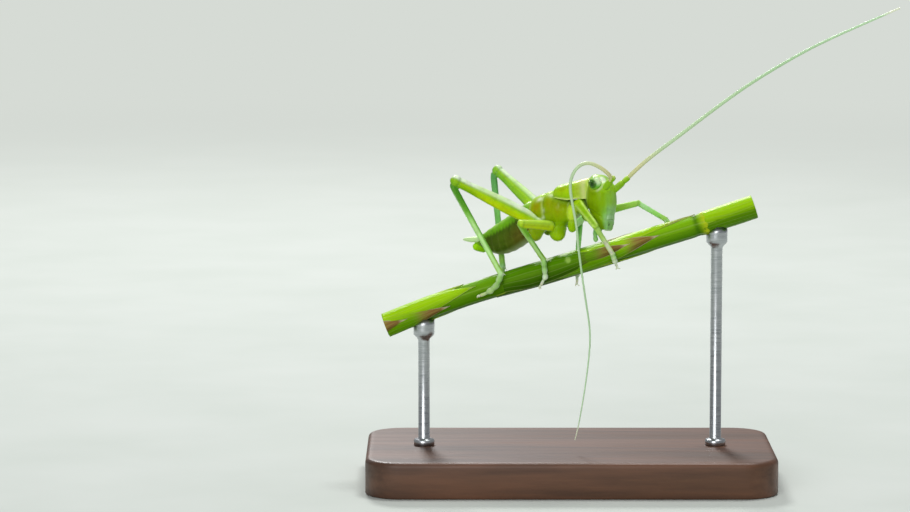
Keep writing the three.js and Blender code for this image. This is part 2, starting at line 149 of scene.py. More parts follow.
table_corners = [[x * TABLE_HALF, y * TABLE_HALF, -TABLE_DROP]
                 for x, y in ((-1, -1), (1, -1), (1, 1), (-1, 1))]
floor = placed("table_top", make_mesh("table_top", table_corners, [(0, 1, 2, 3)], floor_paint))

CAMERA_TILT = math.radians(7)
CAMERA_AWAY = 320
AIM_FROM_PERCH = (-9.58, 0, 0.81)
LENS = 151.9
aim = middle("perch_spike") + AIM_FROM_PERCH
back = np.array([0, -math.cos(CAMERA_TILT), math.sin(CAMERA_TILT)])
camera = placed("camera", bpy.data.cameras.new("camera"))
camera.data.lens = LENS
camera.data.clip_start = 0.01
camera.data.clip_end = 20
camera.location = Vector((aim + back * CAMERA_AWAY) * MM)
camera.rotation_euler = Vector(-back).to_track_quat("-Z", "Y").to_euler()
bpy.context.scene.camera = camera

INSECT_HEIGHT = 22
LAMPS = {  # name: (place, width, watts), all turned to the insect
    "lamp_above": ((60, 60, 330), 110, 0.52),
    "lamp_front": ((-120, -360, 150), 240, 0.72),
    "lamp_behind": ((-60, 300, 240), 90, 0.80),
}
for name, (spot, width, watts) in LAMPS.items():
    lamp = placed(name, bpy.data.lights.new(name, "AREA"))
    lamp.data.shape = "DISK"
    lamp.data.size = width * MM
    lamp.data.energy = watts
    lamp.location = Vector(spot) * MM
    lamp.rotation_euler = (Vector(spot) - Vector((0, 0, INSECT_HEIGHT))).to_track_quat("Z", "Y").to_euler()
world = bpy.data.worlds.new("gallery")
world.use_nodes = True
fill(world.node_tree, world.node_tree.nodes["Background"], {"Color": (0.93, 0.96, 1.0, 1), "Strength": 0.30})
bpy.context.scene.world = world
bpy.context.scene.view_settings.view_transform = "Standard"


# ---------------------------------------------------------------- trunk
# Thorax and abdomen, one soft length of cuticle measured from the CAD trunk slice by slice.
# Grooves part the thorax, and nine plates of the back overlap along the abdomen.
UP = np.array([0, 0, 1.0])
eye_line = middle("eye_left") - middle("eye_right")
left = unit(eye_line * [1, 1, 0])
forward = np.cross(left, UP)


def read(items, name, width, kind=float):
    """One value of every corner, edge or face of a mesh, as rows."""
    values = np.empty(len(items) * width, dtype=kind)
    items.foreach_get(name, values)
    return values.reshape(-1, width)


def solid_of(*nodes):
    """Corners in millimetres and triangles of one or more CAD nodes."""
    corners, faces, start = [], [], 0
    for node in nodes:
        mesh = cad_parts[node].data
        corners.append(read(mesh.vertices, "co", 3) / MM)
        faces.append(read(mesh.polygons, "vertices", 3, int) + start)
        start += len(mesh.vertices)
    return np.vstack(corners), np.vstack(faces)


def outline(solid, point, normal, reach=99.0):
    """The edges that a plane cuts from a solid, near a point of the plane."""
    corners, faces = solid
    depth = (corners - point) @ normal
    behind = depth[faces] < 0
    cut = faces[behind.any(1) & ~behind.all(1)]
    ends = []
    for a, b in ((0, 1), (1, 2), (2, 0)):
        deep_a, deep_b = depth[cut[:, a]], depth[cut[:, b]]
        crossed = (deep_a < 0) != (deep_b < 0)
        share = (deep_a / np.where(crossed, deep_a - deep_b, 1))[:, None]
        met = corners[cut[:, a]] + share * (corners[cut[:, b]] - corners[cut[:, a]])
        ends.append(np.where(crossed[:, None], met, np.nan))
    ends = np.stack(ends, 1)
    edges = ends[~np.isnan(ends[:, :, 0])].reshape(-1, 2, 3)
    return edges[np.linalg.norm(edges.mean(1) - point, axis=1) < reach]


def slices(solid, count, inset):
    """Rows of place, top, bottom, left side and right side along a solid of the body."""
    reach = solid[0] @ forward
    rows = []
    for along in np.linspace(reach.min() + inset, reach.max() - inset, count):
        points = outline(solid, forward * along, forward).reshape(-1, 3)
        height, side = points[:, 2], points @ left
        rows.append([along, height.max(), height.min(), side.max(), side.min()])
    return rows


def smoothed(rows, passes):
    """Rows of sizes with the steps between them eased, the first and last kept."""
    rows = np.array(rows, float)
    for _ in range(passes):
        rows[1:-1] = rows[1:-1] / 2 + (rows[:-2] + rows[2:]) / 4
    return rows


def spread(rows, count):
    """Rows taken again at an even spacing of their order."""
    old = np.linspace(0, 1, len(rows))
    return np.stack([np.interp(np.linspace(0, 1, count), old, column) for column in rows.T], 1)


def full_turn(count):
    """Angles evenly round a circle."""
    return np.linspace(0, 2 * np.pi, count, endpoint=False)


def softened(turn, power):
    """Cosine and sine of a turn round a section that is fuller than an ellipse."""
    return [np.sign(w) * np.abs(w) ** (2 / power) for w in (np.cos(turn), np.sin(turn))]


def mixed(first, second, amount):
    """Between two colours, by an amount at each corner."""
    first, second = (linear(c) if isinstance(c, str) else c for c in (first, second))
    return first + (second - first) * np.clip(np.asarray(amount), 0, 1)[..., None]


def painted(tint, *layers):
    """A colour with other colours laid over it in turn, each by an amount at each corner."""
    for colour, amount in layers:
        tint = mixed(tint, colour, amount)
    return tint


def step(value, start, end):
    """Rises smoothly from 0 at start to 1 at end."""
    share = np.clip((value - start) / (end - start), 0, 1)
    return share * share * (3 - 2 * share)


def bell(value, centre, width):
    """1 at the centre, falling away smoothly over the width."""
    return np.exp(-((value - centre) / width) ** 2)


def groove(value, width):
    """-1 in the middle of a groove, rising smoothly to 0 over its width."""
    return -bell(value, 0, width)


def swell(value, start, end):
    """One even swell between two places."""
    return np.sin(np.pi * np.clip((value - start) / (end - start), 0, 1))


flesh = {"solid": [], "tint": [], "lie": [], "patch": []}
PATCHES_ACROSS = 7  # the hairs' unwrap is 7 by 7 patches, and each length of flesh has one of its own


def closed_stack(rings):
    """Corners and faces of a stack of rings with a point closing each end."""
    count, around = rings.shape[:2]
    corners = np.vstack([rings.reshape(-1, 3), rings[0].mean(0)[None], rings[-1].mean(0)[None]])
    row, turn = np.meshgrid(np.arange(count - 1), np.arange(around), indexing="ij")
    a, b = row * around + turn, row * around + (turn + 1) % around
    faces = np.stack([a, b, b + around, a + around], -1).reshape(-1, 4).tolist()
    foot, top = count * around, count * around + 1
    last = (count - 1) * around
    for k in range(around):
        faces.append([foot, (k + 1) % around, k])
        faces.append([top, last + k, last + (k + 1) % around])
    return corners, faces


def with_ends(rings, values):
    """Values at every corner of a closed stack, from values along, round or all over its rings."""
    width = np.shape(values)[-1]
    values = np.broadcast_to(values, (*rings.shape[:2], width)).reshape(-1, width)
    return np.vstack([values, values[:1], values[-1:]])


def merged(solids):
    """Several solids' corners and faces as one."""
    faces, start = [], 0
    for corners, own_faces in solids:
        faces.extend([[i + start for i in face] for face in own_faces])
        start += len(corners)
    return np.vstack([corners for corners, _ in solids]), faces


def lay_flesh(rings, tint, lie):
    """Keeps one closed length for the skin, with its colours and the way its hairs lie."""
    number = len(flesh["solid"])
    share, turn = np.meshgrid(*(np.linspace(0.05, 0.95, n) for n in rings.shape[:2]), indexing="ij")
    patch = np.stack([share + number % PATCHES_ACROSS, turn + number // PATCHES_ACROSS], -1)
    flesh["solid"].append(closed_stack(rings))
    flesh["tint"].append(with_ends(rings, tint))
    flesh["lie"].append(with_ends(rings, np.reshape(lie, (-1, 1, 3))))
    flesh["patch"].append(with_ends(rings, patch / PATCHES_ACROSS))


trunk = solid_of("prothorax", "mesothorax", "metathorax", "abdomen")
rows = spread(smoothed(slices(trunk, 46, 0.03), 3), 190)
along, top, bottom, left_side, right_side = rows.T[:, :, None]
across, lift = softened(full_turn(88), 2.3)
LEAN = math.tan(math.radians(9))  # the plates of the back lean backwards by nine degrees


def lean(points):
    """How far forward a point lies, measured square to the leaning plates."""
    return points @ forward + LEAN * points[..., 2]


def parting(behind, ahead):
    """Where one trunk node ends and the next begins."""
    return (lean(solid_of(behind)[0]).max() + lean(solid_of(ahead)[0]).min()) / 2


waist = parting("abdomen", "metathorax")
mid_line = parting("metathorax", "mesothorax")
neck_line = parting("mesothorax", "prothorax")
centre = (along * forward + (left_side + right_side) / 2 * left + (top + bottom) / 2 * UP)[:, None, :]
half_wide, half_tall = (left_side - right_side) / 2 * across, (top - bottom) / 2 * lift
rings = centre + half_wide[..., None] * left + half_tall[..., None] * UP
place_on = lean(rings)
onward = place_on - waist  # millimetres forward of the waist
PLATES = 9
plate = -onward / (waist - lean(rings[0]).mean()) * PLATES
in_abdomen = step(-onward, 0, 0.1)
within = plate - np.floor(plate)
overlap = 0.055 * within ** 1.6 * (1 - step(within, 0.86, 1.0)) * in_abdomen
pleat = 0.05 * groove(lift - np.where(plate > 0, -0.42, 9), 0.1) * in_abdomen
side_grooves = groove(onward - 0.62, 0.06) + groove(onward - 2.2, 0.06) + groove(onward - 2.75, 0.05)
thorax_relief = (0.13 * groove(place_on - mid_line, 0.07)
                 + 0.035 * side_grooves * step(-np.abs(lift - 0.05), -0.75, -0.45)
                 + 0.12 * groove(onward, 0.11) + 0.10 * groove(place_on - neck_line, 0.09))
plate_swell = 0.05 * swell(place_on, waist, mid_line) + 0.06 * swell(place_on, mid_line, neck_line)
slant = place_on - (mid_line * 0.45 + neck_line * 0.55) + 0.12 * lift
side_furrow = 0.05 * groove(slant, 0.07) * step(-lift, -0.45, 0.1)
relief = overlap + pleat + thorax_relief + plate_swell + side_furrow - 0.03
carried = 0.16 * step(-onward, 0.5, 3.0) + 0.36 * step(plate, 5.8, 8.8) * step(-lift, -0.1, 0.9)
rings = rings + relief[..., None] * unit(rings - centre) + carried[..., None] * UP

wave = np.abs(((plate * 2) % 1) - 0.5) * 2
edge_of_stripe = 0.30 + 0.22 * wave ** 1.4
stripe = step(lift, edge_of_stripe - 0.05, edge_of_stripe + 0.05)
abdomen_tint = painted(
    "465C12",
    ("3A5410", step(lift, -0.1, 0.35)),
    ("64521C", 0.8 * step(plate, 4.6, 1.2) * step(-lift, -0.35, 0.4)),
    ("6E7C2E", 0.45 * bell(within, 0.93, 0.07)),
    ("8FA060", 0.8 * step(-lift, 0.72, 0.95)),
    (mixed("6FAE1C", "9CD050", step(lift, 0.6, 1.0)), stripe),
    ("80BC0A", step(plate, 7.6, 8.7)))
# Marks on the thorax. The near-white F0FAE2 rows and the pale DCEFA8 strip are painted highlights on the
# plates; the other rows are coloured streaks and one dark upright line.
MARKS_AND_HIGHLIGHTS = (  # colour, middle from the waist, middle height, half length, half height, strength
    ("A88A04", 0.80, 0.38, 0.42, 0.30, 0.6), ("A09C08", 2.00, 0.45, 0.26, 0.34, 0.5),
    ("9A9004", 2.75, 0.30, 0.30, 0.36, 0.4), ("F0FAE2", 1.12, 0.74, 0.26, 0.09, 0.9),
    ("F0FAE2", 2.12, 0.83, 0.24, 0.07, 0.6), ("F0FAE2", 1.46, 0.08, 0.09, 0.09, 0.9),
    ("F0FAE2", 1.32, -0.30, 0.13, 0.07, 0.9), ("DCEFA8", 1.33, 0.10, 0.05, 0.50, 0.7),
    ("D2E880", 2.84, 0.50, 0.05, 0.18, 0.6), ("6E8E02", 1.46, 0.20, 0.05, 0.60, 0.6))
thorax_tint = painted(
    "92AE02",
    ("A8D232", step(lift, 0.5, 0.95)),
    ("82B002", step(-lift, 0.1, 0.8)),
    *((colour, strength * bell(onward, mark_on, half_long) * bell(lift, height, half_high))
      for colour, mark_on, height, half_long, half_high, strength in MARKS_AND_HIGHLIGHTS),
    *(("D6F0A0", 0.6 * bell(place_on - line, 0.16, 0.05) * step(lift, -0.4, 0.6))
      for line in (waist, neck_line)))
lay_flesh(rings, mixed(abdomen_tint, thorax_tint, step(place_on, waist - 0.06, waist + 0.06)), -forward)


# ---------------------------------------------------------------- head
# The head is a tall capsule with a flat sloping face. Each row below gives its height in the
# head's own frame, how far its middle lies forward, its half width, and its front and back.
head_left = unit(eye_line)
head_up = np.cross(forward, head_left)
EYE_FORWARD, EYE_SIDE, EYE_HEIGHT = 0.09, 1.12, 1.44
EYE_HALF = np.array([0.54, 0.52, 0.58])
head_at = (middle("eye_left") + middle("eye_right")) / 2 - EYE_FORWARD * forward - EYE_HEIGHT * head_up
HEAD_ROWS = [
    [2.22, -0.12, 0.24, 0.20, 0.24], [2.19, -0.09, 0.50, 0.40, 0.48], [2.03, -0.04, 0.80, 0.62, 0.72],
    [1.6, 0.04, 1.10, 0.92, 0.98], [1.0, 0.1, 1.26, 1.15, 1.14], [0.2, 0.16, 1.33, 1.25, 1.18],
    [-0.6, 0.3, 1.18, 1.1, 1.06], [-1.2, 0.44, 0.99, 0.86, 0.83], [-1.8, 0.62, 0.84, 0.62, 0.62],
    [-2.22, 0.76, 0.66, 0.42, 0.5], [-2.31, 0.8, 0.48, 0.28, 0.36]]


def curve_rows(rows, count):
    """Rows taken again along a smooth curve through them."""
    rows = np.asarray(rows, float)
    at = np.linspace(0, len(rows) - 1, count)
    i = np.clip(at.astype(int), 0, len(rows) - 2)
    t = (at - i)[:, None]
    before, here, there, after = (rows[np.clip(i + k, 0, len(rows) - 1)] for k in (-1, 0, 1, 2))
    return 0.5 * (2 * here + (there - before) * t + (2 * before - 5 * here + 4 * there - after) * t ** 2
                  + (3 * here - before - 3 * there + after) * t ** 3)


def head_rings(rows, count, around, power):
    """Rings in the head's own frame: x forward, y to its left, z up. Also their turns and middles."""
    height, offset, wide, front, rear = curve_rows(rows, count).T[:, :, None]
    turn = full_turn(around)
    side, face = softened(turn, power)
    x = offset + np.where(face > 0, front, rear) * face
    rings = np.stack(np.broadcast_arrays(x, wide * side, height), -1)
    return rings, turn, np.stack(np.broadcast_arrays(offset, 0 * x, height), -1)


def in_model(points):
    """From the head's own frame to the model's."""
    return head_at + points @ np.stack([forward, head_left, head_up])


own, turn, middles = head_rings(HEAD_ROWS, 120, 96, 2.35)
x, y, z = np.moveaxis(own, -1, 0)
face = np.sin(turn)[None]
flank = np.abs(np.cos(turn))[None]
eye_at = (EYE_FORWARD, EYE_SIDE, EYE_HEIGHT)
eye_gap = np.linalg.norm((np.stack([x, np.abs(y), z], -1) - eye_at) / EYE_HALF, axis=-1)
eye_rim = 0.075 * bell(eye_gap, 1.13, 0.12)
SOCKET_DEEP = 0.48  # from the middle of a feeler's root in to the ring it stands in
socket_rim, socket_tint = 0, 0
for side in ("right", "left"):
    base = middle("antenna_%s_base" % side)
    gap = np.linalg.norm(in_model(own) - (base - unit(base - head_at) * SOCKET_DEEP), axis=-1)
    socket_rim = socket_rim + 0.09 * bell(gap, 0.40, 0.10)
    socket_tint = socket_tint + bell(gap, 0, 0.62)
cheek_ridge = 0.05 * bell(flank, 0.70, 0.10) * step(face, 0, 0.3) * step(-z, -1.1, 0) * step(z, -2.2, -1.6)
brow = bell(z, 1.75, 0.2) * bell(y, 0, 0.22) * step(face, 0.2, 0.8)
lip_line = 0.06 * groove(z + 0.66 - 0.2 * np.abs(y), 0.07) * step(face, 0.5, 0.8)
jaw_line = 0.07 * groove(z + 1.05 + 0.5 * (x - 0.3), 0.06) * step(flank, 0.5, 0.8)
jaw_swell = 0.07 * bell(z, -1.6, 0.35) * step(flank, 0.4, 0.8)
nape = 0.06 * groove(x + 0.55, 0.08) * step(z, -1.2, -0.6)
face_hollow = 0.04 * groove(y, 0.32) * bell(z, 0.1, 0.8) * step(face, 0.5, 0.9)
relief = (eye_rim + socket_rim + cheek_ridge + 0.10 * brow + lip_line + jaw_line + jaw_swell + nape
          + face_hollow)
own = own + relief[..., None] * unit(own - middles)

# Painted highlights on the head: a pale patch on the top of the brow and a near-white patch on each temple,
# between the eye and the feeler's root.
brow_highlight = bell(z, 1.75, 0.16) * bell(y, 0, 0.2) * step(face, 0.2, 0.8)
temple_highlight_gap = np.sqrt((x - 0.58) ** 2 + (np.abs(y) - 0.78) ** 2 + ((z - 1.78) * 0.8) ** 2)
head_tint = painted(
    "84A800",
    ("86B404", step(face, -0.2, 0.5)),
    ("98B80A", step(-face, 0.2, 0.8)),
    ("94CC40", step(face, 0.50, 0.85)),
    ("88C846", step(-z, 0.1, 1.2) * step(face, 0.15, 0.7)),
    ("A2DE8C", 0.8 * step(-z, 0.0, 0.7) * step(face, 0.62, 0.92)),
    ("9CD086", step(-z, 0.8, 1.3) * step(face, 0.35, 0.75)),
    ("B0DE68", step(z, 1.60, 2.0)),
    ("A6D80C", 0.85 * np.clip(socket_tint, 0, 1)),
    ("B2CC3C", 0.7 * bell(eye_gap, 1.12, 0.09)),
    # The layers on the lower front of the eye's rim, on the brow and on the temples are painted highlights.
    ("DDF2C0", 0.8 * bell(eye_gap, 1.18, 0.12) * step(x, 0.2, 0.45) * step(-z, -1.6, -1.2)),
    ("CFE6A0", 0.5 * step(-x, 0.5, 0.85) * step(z, -0.6, 0.2)),
    ("D9F2CF", 0.6 * brow_highlight),
    ("F2FFE6", 0.97 * step(-temple_highlight_gap, -0.44, -0.20)))
lay_flesh(in_model(own), head_tint, -head_up)


# ---------------------------------------------------------------- legs
# Six jointed legs: a coxa and a short trochanter on the body, a femur that is taller than it is
# wide, a four-edged tibia and a foot of padded joints. The hind femur swells for the jump.
MEASURED_AT = (0.4, 0.8)  # the shares of a limb where its CAD solid is measured


def ring_of(solid, point, normal, reach=99.0):
    """Centre and mean radius of the outline that a plane cuts from a solid."""
    edges = outline(solid, point, normal, reach)
    if len(edges) < 3:
        return None, 0
    lengths = np.linalg.norm(edges[:, 1] - edges[:, 0], axis=1)
    return (edges.mean(1) * lengths[:, None]).sum(0) / lengths.sum(), lengths.sum() / (2 * np.pi)


def long_axis(corners, root):
    """Middle and long axis of a solid, pointing away from its root."""
    centre = corners.mean(0)
    axis = np.linalg.svd(corners - centre)[2][0]
    return centre, axis if (root - centre) @ axis < 0 else -axis


def straight_line(node, root):
    """First and last point of a straight limb node, and its mean radius at the two measured places."""
    solid = solid_of(node)
    centre, axis = long_axis(solid[0], root)
    reach = (solid[0] - centre) @ axis
    (a, size_a), (b, size_b) = (
        ring_of(solid, centre + axis * (reach.min() + share * np.ptp(reach)), axis) for share in MEASURED_AT)
    axis = unit(b - a)
    reach = (solid[0] - a) @ axis
    return a + axis * reach.min(), a + axis * reach.max(), (size_a, size_b)


def bent_line(node, root, last=0.95):
    """Points along the middle of a limb node that bends, from near its root to a last share."""
    solid = solid_of(node)
    centre, axis = long_axis(solid[0], root)
    reach = (solid[0] - centre) @ axis
    places = centre + axis * (reach.min() + np.linspace(0.1, last, 6) * np.ptp(reach))[:, None]
    return np.array([ring_of(solid, p, axis)[0] for p in places])


def even_line(points, spacing):
    """Points at an even spacing along a smooth curve through the ones given, and their distances."""
    fine = curve_rows(points, 40 * len(points))
    length = np.concatenate([[0], np.cumsum(np.linalg.norm(np.diff(fine, axis=0), axis=1))])
    at = np.linspace(0, length[-1], max(6, int(length[-1] / spacing)))
    return np.stack([np.interp(at, length, column) for column in fine.T], 1), at


def spokes(rings):
    """From the middle of each ring out to its corners."""
    return rings - rings.mean(1, keepdims=True)


def limb_rings(points, shares, tall, over, wide=None, around=32, ridge=0.0, spacing=0.05):
    """Rings along a limb with domed ends. Tall and wide are its half sizes at the shares, `over` is
    the way its back faces, and a ridge squares its section. Also shares, turns and the limb's way."""
    line, at = even_line(points, spacing)
    share = at / at[-1]
    half_tall = smoothed(np.interp(share, shares, tall), 4)
    half_wide = half_tall if wide is None else smoothed(np.interp(share, shares, wide), 4)
    end = np.minimum(at, at[-1] - at)
    size = np.maximum(half_tall, half_wide)
    dome = np.sqrt(np.clip(1 - np.clip(1 - end / size, 0, 1) ** 2, 0.004, 1))
    way = unit(np.gradient(line, axis=0))
    side = unit(np.cross(np.asarray(over, float), way))
    back = np.cross(way, side)
    turn = full_turn(around)
    squared = 1 - ridge * np.cos(4 * turn)
    rings = line[:, None]
    for half, push, direction in ((half_wide, np.cos(turn), side), (half_tall, np.sin(turn), back)):
        rings = rings + (half * dome)[:, None, None] * (push * squared)[None, :, None] * direction[:, None]
    return rings, share[:, None], turn[None], way


SKIN_DEPTH = 0.02  # the skin lies a little inside the CAD solids, which leaves room for its hairs
MEAN_SIZE = 0.79  # mean radius of a femur's CAD solid as a share of its half height
SLIM = dict(femur_flat=[0.95, 0.92, 0.88, 0.86, 0.86, 0.88, 0.92, 0.98, 0.9], femur_ridge=0.05, knee_up=0,
            shin_size=0.90, foot_size=0.26, foot="EEF8E2")
PAIRS = {  # each pair's colours and proportions; seam is the height of the dark line along the femur
    "fore": dict(
        SLIM, coxa=("CCEC3C", "98C808"), coxa_pinch=0.86, coxa_change=0.7, knee_swell=1.04,
        femur=("B4E008", "B6E408", "ACD806"), seam=0.30, in_shade=0.3,
        shin=("A6E44C", "A6E44C", "D8FF9C", "D4FA8C"), spines=5),
    "mid": dict(
        SLIM, coxa=("8AB602", "A2CE06"), coxa_pinch=0.97, coxa_change=0.95, knee_swell=1.12,
        femur=("D6F01C", "BEE448", "D2EC10"), seam=-0.08, in_shade=0.75,
        shin=("78C028", "78C028", "C8F8A0", "BCEC84"), spines=6),
    "hind": dict(
        femur_tall=[0.28, 0.38, 0.62, 0.67, 0.59, 0.48, 0.47, 0.52, 0.46],
        femur_flat=[0.9, 0.72, 0.64, 0.62, 0.64, 0.68, 0.74, 0.86, 0.8], knee_up=0.09, femur_ridge=0.03,
        shin_size=0.98, foot_size=0.29, foot="C4DE9C",
        coxa=("A8CC04", "94A80A"), coxa_pinch=0.97, coxa_change=0.95,
        femur=("B6E00A", "BCE85C", "C4DE04"), seam=0.22, in_shade=0.1,
        shin=("4C9624", "80CC40", "D4FFB0", "C4F0A0"), spines=13),
}
legs = {}
for leg in ("fore_right", "fore_left", "mid_right", "mid_left", "hind_right", "hind_left"):
    pair, side = leg.split("_")
    look = PAIRS[pair]
    flank_at = middle("mesothorax") + (1.2 if side == "left" else -1.2) * left
    coxa_top, coxa_end, (coxa_size, _) = straight_line("coxa_" + leg, flank_at + UP * 2)
    hip, knee, (femur_size, knee_size) = straight_line("femur_" + leg, coxa_end)
    shin, ankle, (shin_size, ankle_size) = straight_line("tibia_" + leg, knee)
    thigh_way, shin_way = unit(knee - hip), unit(ankle - shin)
    knee_back = unit(-(shin_way - (shin_way @ thigh_way) * thigh_way))
    shin_back = unit(thigh_way - (thigh_way @ shin_way) * shin_way)

    # The coxa and its short trochanter, with a waist between them.
    size = coxa_size - SKIN_DEPTH
    sizes = size * np.array([1, 1.08, look["coxa_pinch"], 0.98, 0.84])
    inner = coxa_top - unit(coxa_end - coxa_top) * 0.25
    rings, share, turn, way = limb_rings(
        [inner, coxa_end], [0, 0.3, 0.55, 0.75, 1], sizes, forward, around=44, spacing=0.06)
    top, tip = look["coxa"]
    layers = [("7CA008" if leg == "hind_left" else tip, step(share, 0.5, look["coxa_change"]))]
    if pair == "fore":
        layers.append(("6C9A06", 0.7 * bell(share, 0.56, 0.04)))
    lay_flesh(rings, painted(top, *layers), way)

    # The femur's half height falls from hip to knee; the hind one has the belly of a jumping leg.
    shares = np.array([0, 0.08, 0.2, 0.4, 0.6, 0.8, 0.9, 0.955, 1])
    if pair == "hind":
        tall = np.array(look["femur_tall"])
    else:
        slope = (knee_size - femur_size) / (MEASURED_AT[1] - MEASURED_AT[0])
        tall = (femur_size + slope * (shares - MEASURED_AT[0])) / MEAN_SIZE - SKIN_DEPTH
        tall = tall * [0.86, 1.0, 1.02, 1.0, 1.0, 1.0, 0.98, look["knee_swell"], 0.95]
    rings, share, turn, way = limb_rings(
        [hip - thigh_way * 0.05, knee + knee_back * look["knee_up"]], shares, tall, knee_back,
        wide=tall * look["femur_flat"], around=48, ridge=look["femur_ridge"])
    over = np.sin(turn)
    furrows = 0.030 * groove(np.abs(over) - 0.30, 0.12) + 0.05 * groove(over + 1, 0.10)
    joint = 0.05 * groove(share - 0.915, 0.012) + 0.04 * groove(share - 0.10, 0.015)
    carved = (furrows * step(share, 0.1, 0.2) + joint) * step(1 - share, 0.0, 0.04)
    rings = rings + carved[..., None] * spokes(rings) / 0.4
    flank, crown, belly = look["femur"]
    layers = [(crown, step(over, 0.0, 0.45)), (belly, step(-over, 0.0, 0.45) * step(1 - share, 0.04, 0.25))]
    if pair == "fore":
        layers += [("CCF860", 0.8 * step(share, 0.55, 0.85)),
                   # painted highlight line along one edge of the fore femur
                   ("E2FAA4", 0.7 * bell(over, 0.70, 0.12) * step(share, 0.1, 0.3)),
                   ("78AE10", 0.7 * step(over, 0.86, 0.97) * step(share, 0.15, 0.35))]
    if pair == "hind":
        layers.append(("78B40A", 0.8 * step(share, 0.55, 0.8) * step(-over, -0.1, 0.5)))
        if side == "left":
            layers.append(("7CC418", 0.7 * step(-over, -0.1, 0.3) * step(share, 0.3, 0.5)))
        # Painted highlight: a near-white line along the top of the hind femur, brighter a third of the way
        # from the hip and over the last third to the knee.
        pale = 0.55 + 0.45 * step(share, 0.68, 0.80) + 0.45 * bell(share, 0.30, 0.12)
        layers.append(("F0FDE4", 0.93 * pale * step(over, 0.28, 0.50) * step(over, 0.2, 0.5)))
    layers += [("4E8C08", 0.6 * bell(over, look["seam"], 0.10) * step(share, 0.1, 0.25)),
               ("5E9410", 0.4 * bell(over, -0.85, 0.15) * step(share, 0.1, 0.25)),
               ("8CC430", 0.65 * bell(share, 0.955, 0.04) * step(-over, -0.5, 0.2)),
               ("5C9422", 0.6 * bell(share, 0.915, 0.01)),
               ("8CDC80", look["in_shade"] if side == "left" else 0)]
    lay_flesh(rings, painted(flank, *layers), way)

    # The tibia is slim and four-edged, with a pale line along its outer side.
    length = np.linalg.norm(ankle - shin)
    shares = [0, 0.5 / length, 0.9 / length, 0.3, 0.7, 0.93, 0.98, 1]
    size = np.interp([0, 0.1, 0.2, 0.3, 0.7, 0.9, 0.95, 1], MEASURED_AT, [shin_size, ankle_size])
    size = size * look["shin_size"] - SKIN_DEPTH
    tall = size * [0.78, 1.06, 1.1, 1.04, 1.0, 1.04, 1.12, 0.95]
    wide = size * [0.7, 1.0, 1.06, 1.0, 0.98, 1.02, 1.08, 0.9]
    rings, share, turn, way = limb_rings(
        [shin, ankle], shares, tall, shin_back, wide=wide, around=36, ridge=0.06)
    over = np.sin(turn)
    aside = unit(spokes(rings)) @ ((left if side == "left" else -left) * 0.88 + forward * 0.47)
    aside = aside / aside.max()
    root_colour, shin_colour, line_colour, back_colour = look["shin"]
    near_end = step(share, 0.70, 0.85) * step(1 - share, 0.0, 0.10)
    layers = [(shin_colour, step(share, 0.12, 0.42)),
              (line_colour, 0.9 * step(aside, 0.76, 0.94) * step(share, 0.28, 0.48)),
              (back_colour, 0.7 * step(over, 0.55, 0.90) * step(share, 0.0, 0.15)),
              ("B8DA34", 0.8 * near_end * step(-aside, -0.85, -0.6))]
    # Painted highlights: a near-white line along the outer edge of the right fore tibia, and a pale stretch
    # along the first half of the left one.
    if leg == "fore_right":
        layers += [("E0F88C", 0.8 * step(share, 0.35, 0.65) * step(-aside, -0.9, -0.5)),
                   ("F8FFDC", step(share, 0.40, 0.60) * step(aside, 0.6, 0.85))]
    if leg == "fore_left":
        layers.append(("D4FFBC", 0.7 * step(share, 0.0, 0.1) * step(-share, -0.6, -0.3)))
    # The far side's tibiae get a paler painted shade tint, like its femora's in_shade.
    layers += [("CFE8BC", 0.8 * step(share, 0.93, 0.99)), ("8CD69A", 0.35 if side == "left" else 0)]
    lay_flesh(rings, painted(root_colour, *layers), way)

    # Three padded joints, then the slim last one that carries the claws.
    points = np.vstack([ankle - shin_way * 0.28, bent_line("foot_" + leg, ankle, last=0.82)])
    size = look["foot_size"] - SKIN_DEPTH
    shares = [0, 0.10, 0.22, 0.28, 0.38, 0.47, 0.52, 0.62, 0.70, 0.75, 0.9, 1]
    tall = size * np.array([0.8, 0.85, 0.95, 0.66, 0.92, 0.86, 0.62, 0.96, 0.8, 0.46, 0.55, 0.5])
    wide = size * np.array([0.8, 0.9, 1.0, 0.72, 1.02, 0.95, 0.68, 1.08, 0.95, 0.46, 0.5, 0.5])
    foot_way = unit(points[-1] - points[-2])
    foot_over = -unit(np.cross(foot_way, np.cross(-UP if abs(foot_way[2]) < 0.9 else left, foot_way)))
    rings, share, turn, way = limb_rings(points, shares, tall, foot_over, wide=wide, around=28, spacing=0.04)
    pads = step(-np.sin(turn), 0.2, 0.9) * (np.abs(np.sin(np.pi * np.clip(share / 0.74, 0, 1) * 3)) ** 0.6)
    rings = rings + (0.16 * pads * step(0.74 - share, 0, 0.05))[..., None] * spokes(rings)
    lay_flesh(rings, painted(
        "98CC70",
        ("BEE29A", step(np.sin(turn), 0, 0.8)),
        (look["foot"], 0.85 * step(share, 0.25, 0.75)),
        ("8CB864", 0.7 * np.max([bell(share, s, 0.02) for s in (0.28, 0.52, 0.75)], 0)),
        ("DCCFA6", 0.6 * step(share, 0.8, 1.0))), way)
    legs[leg] = dict(shin=shin, ankle=ankle, shin_back=shin_back, shin_way=shin_way, size=ankle_size,
                     foot_over=foot_over, foot_way=foot_way, foot_end=rings[-1].mean(0))


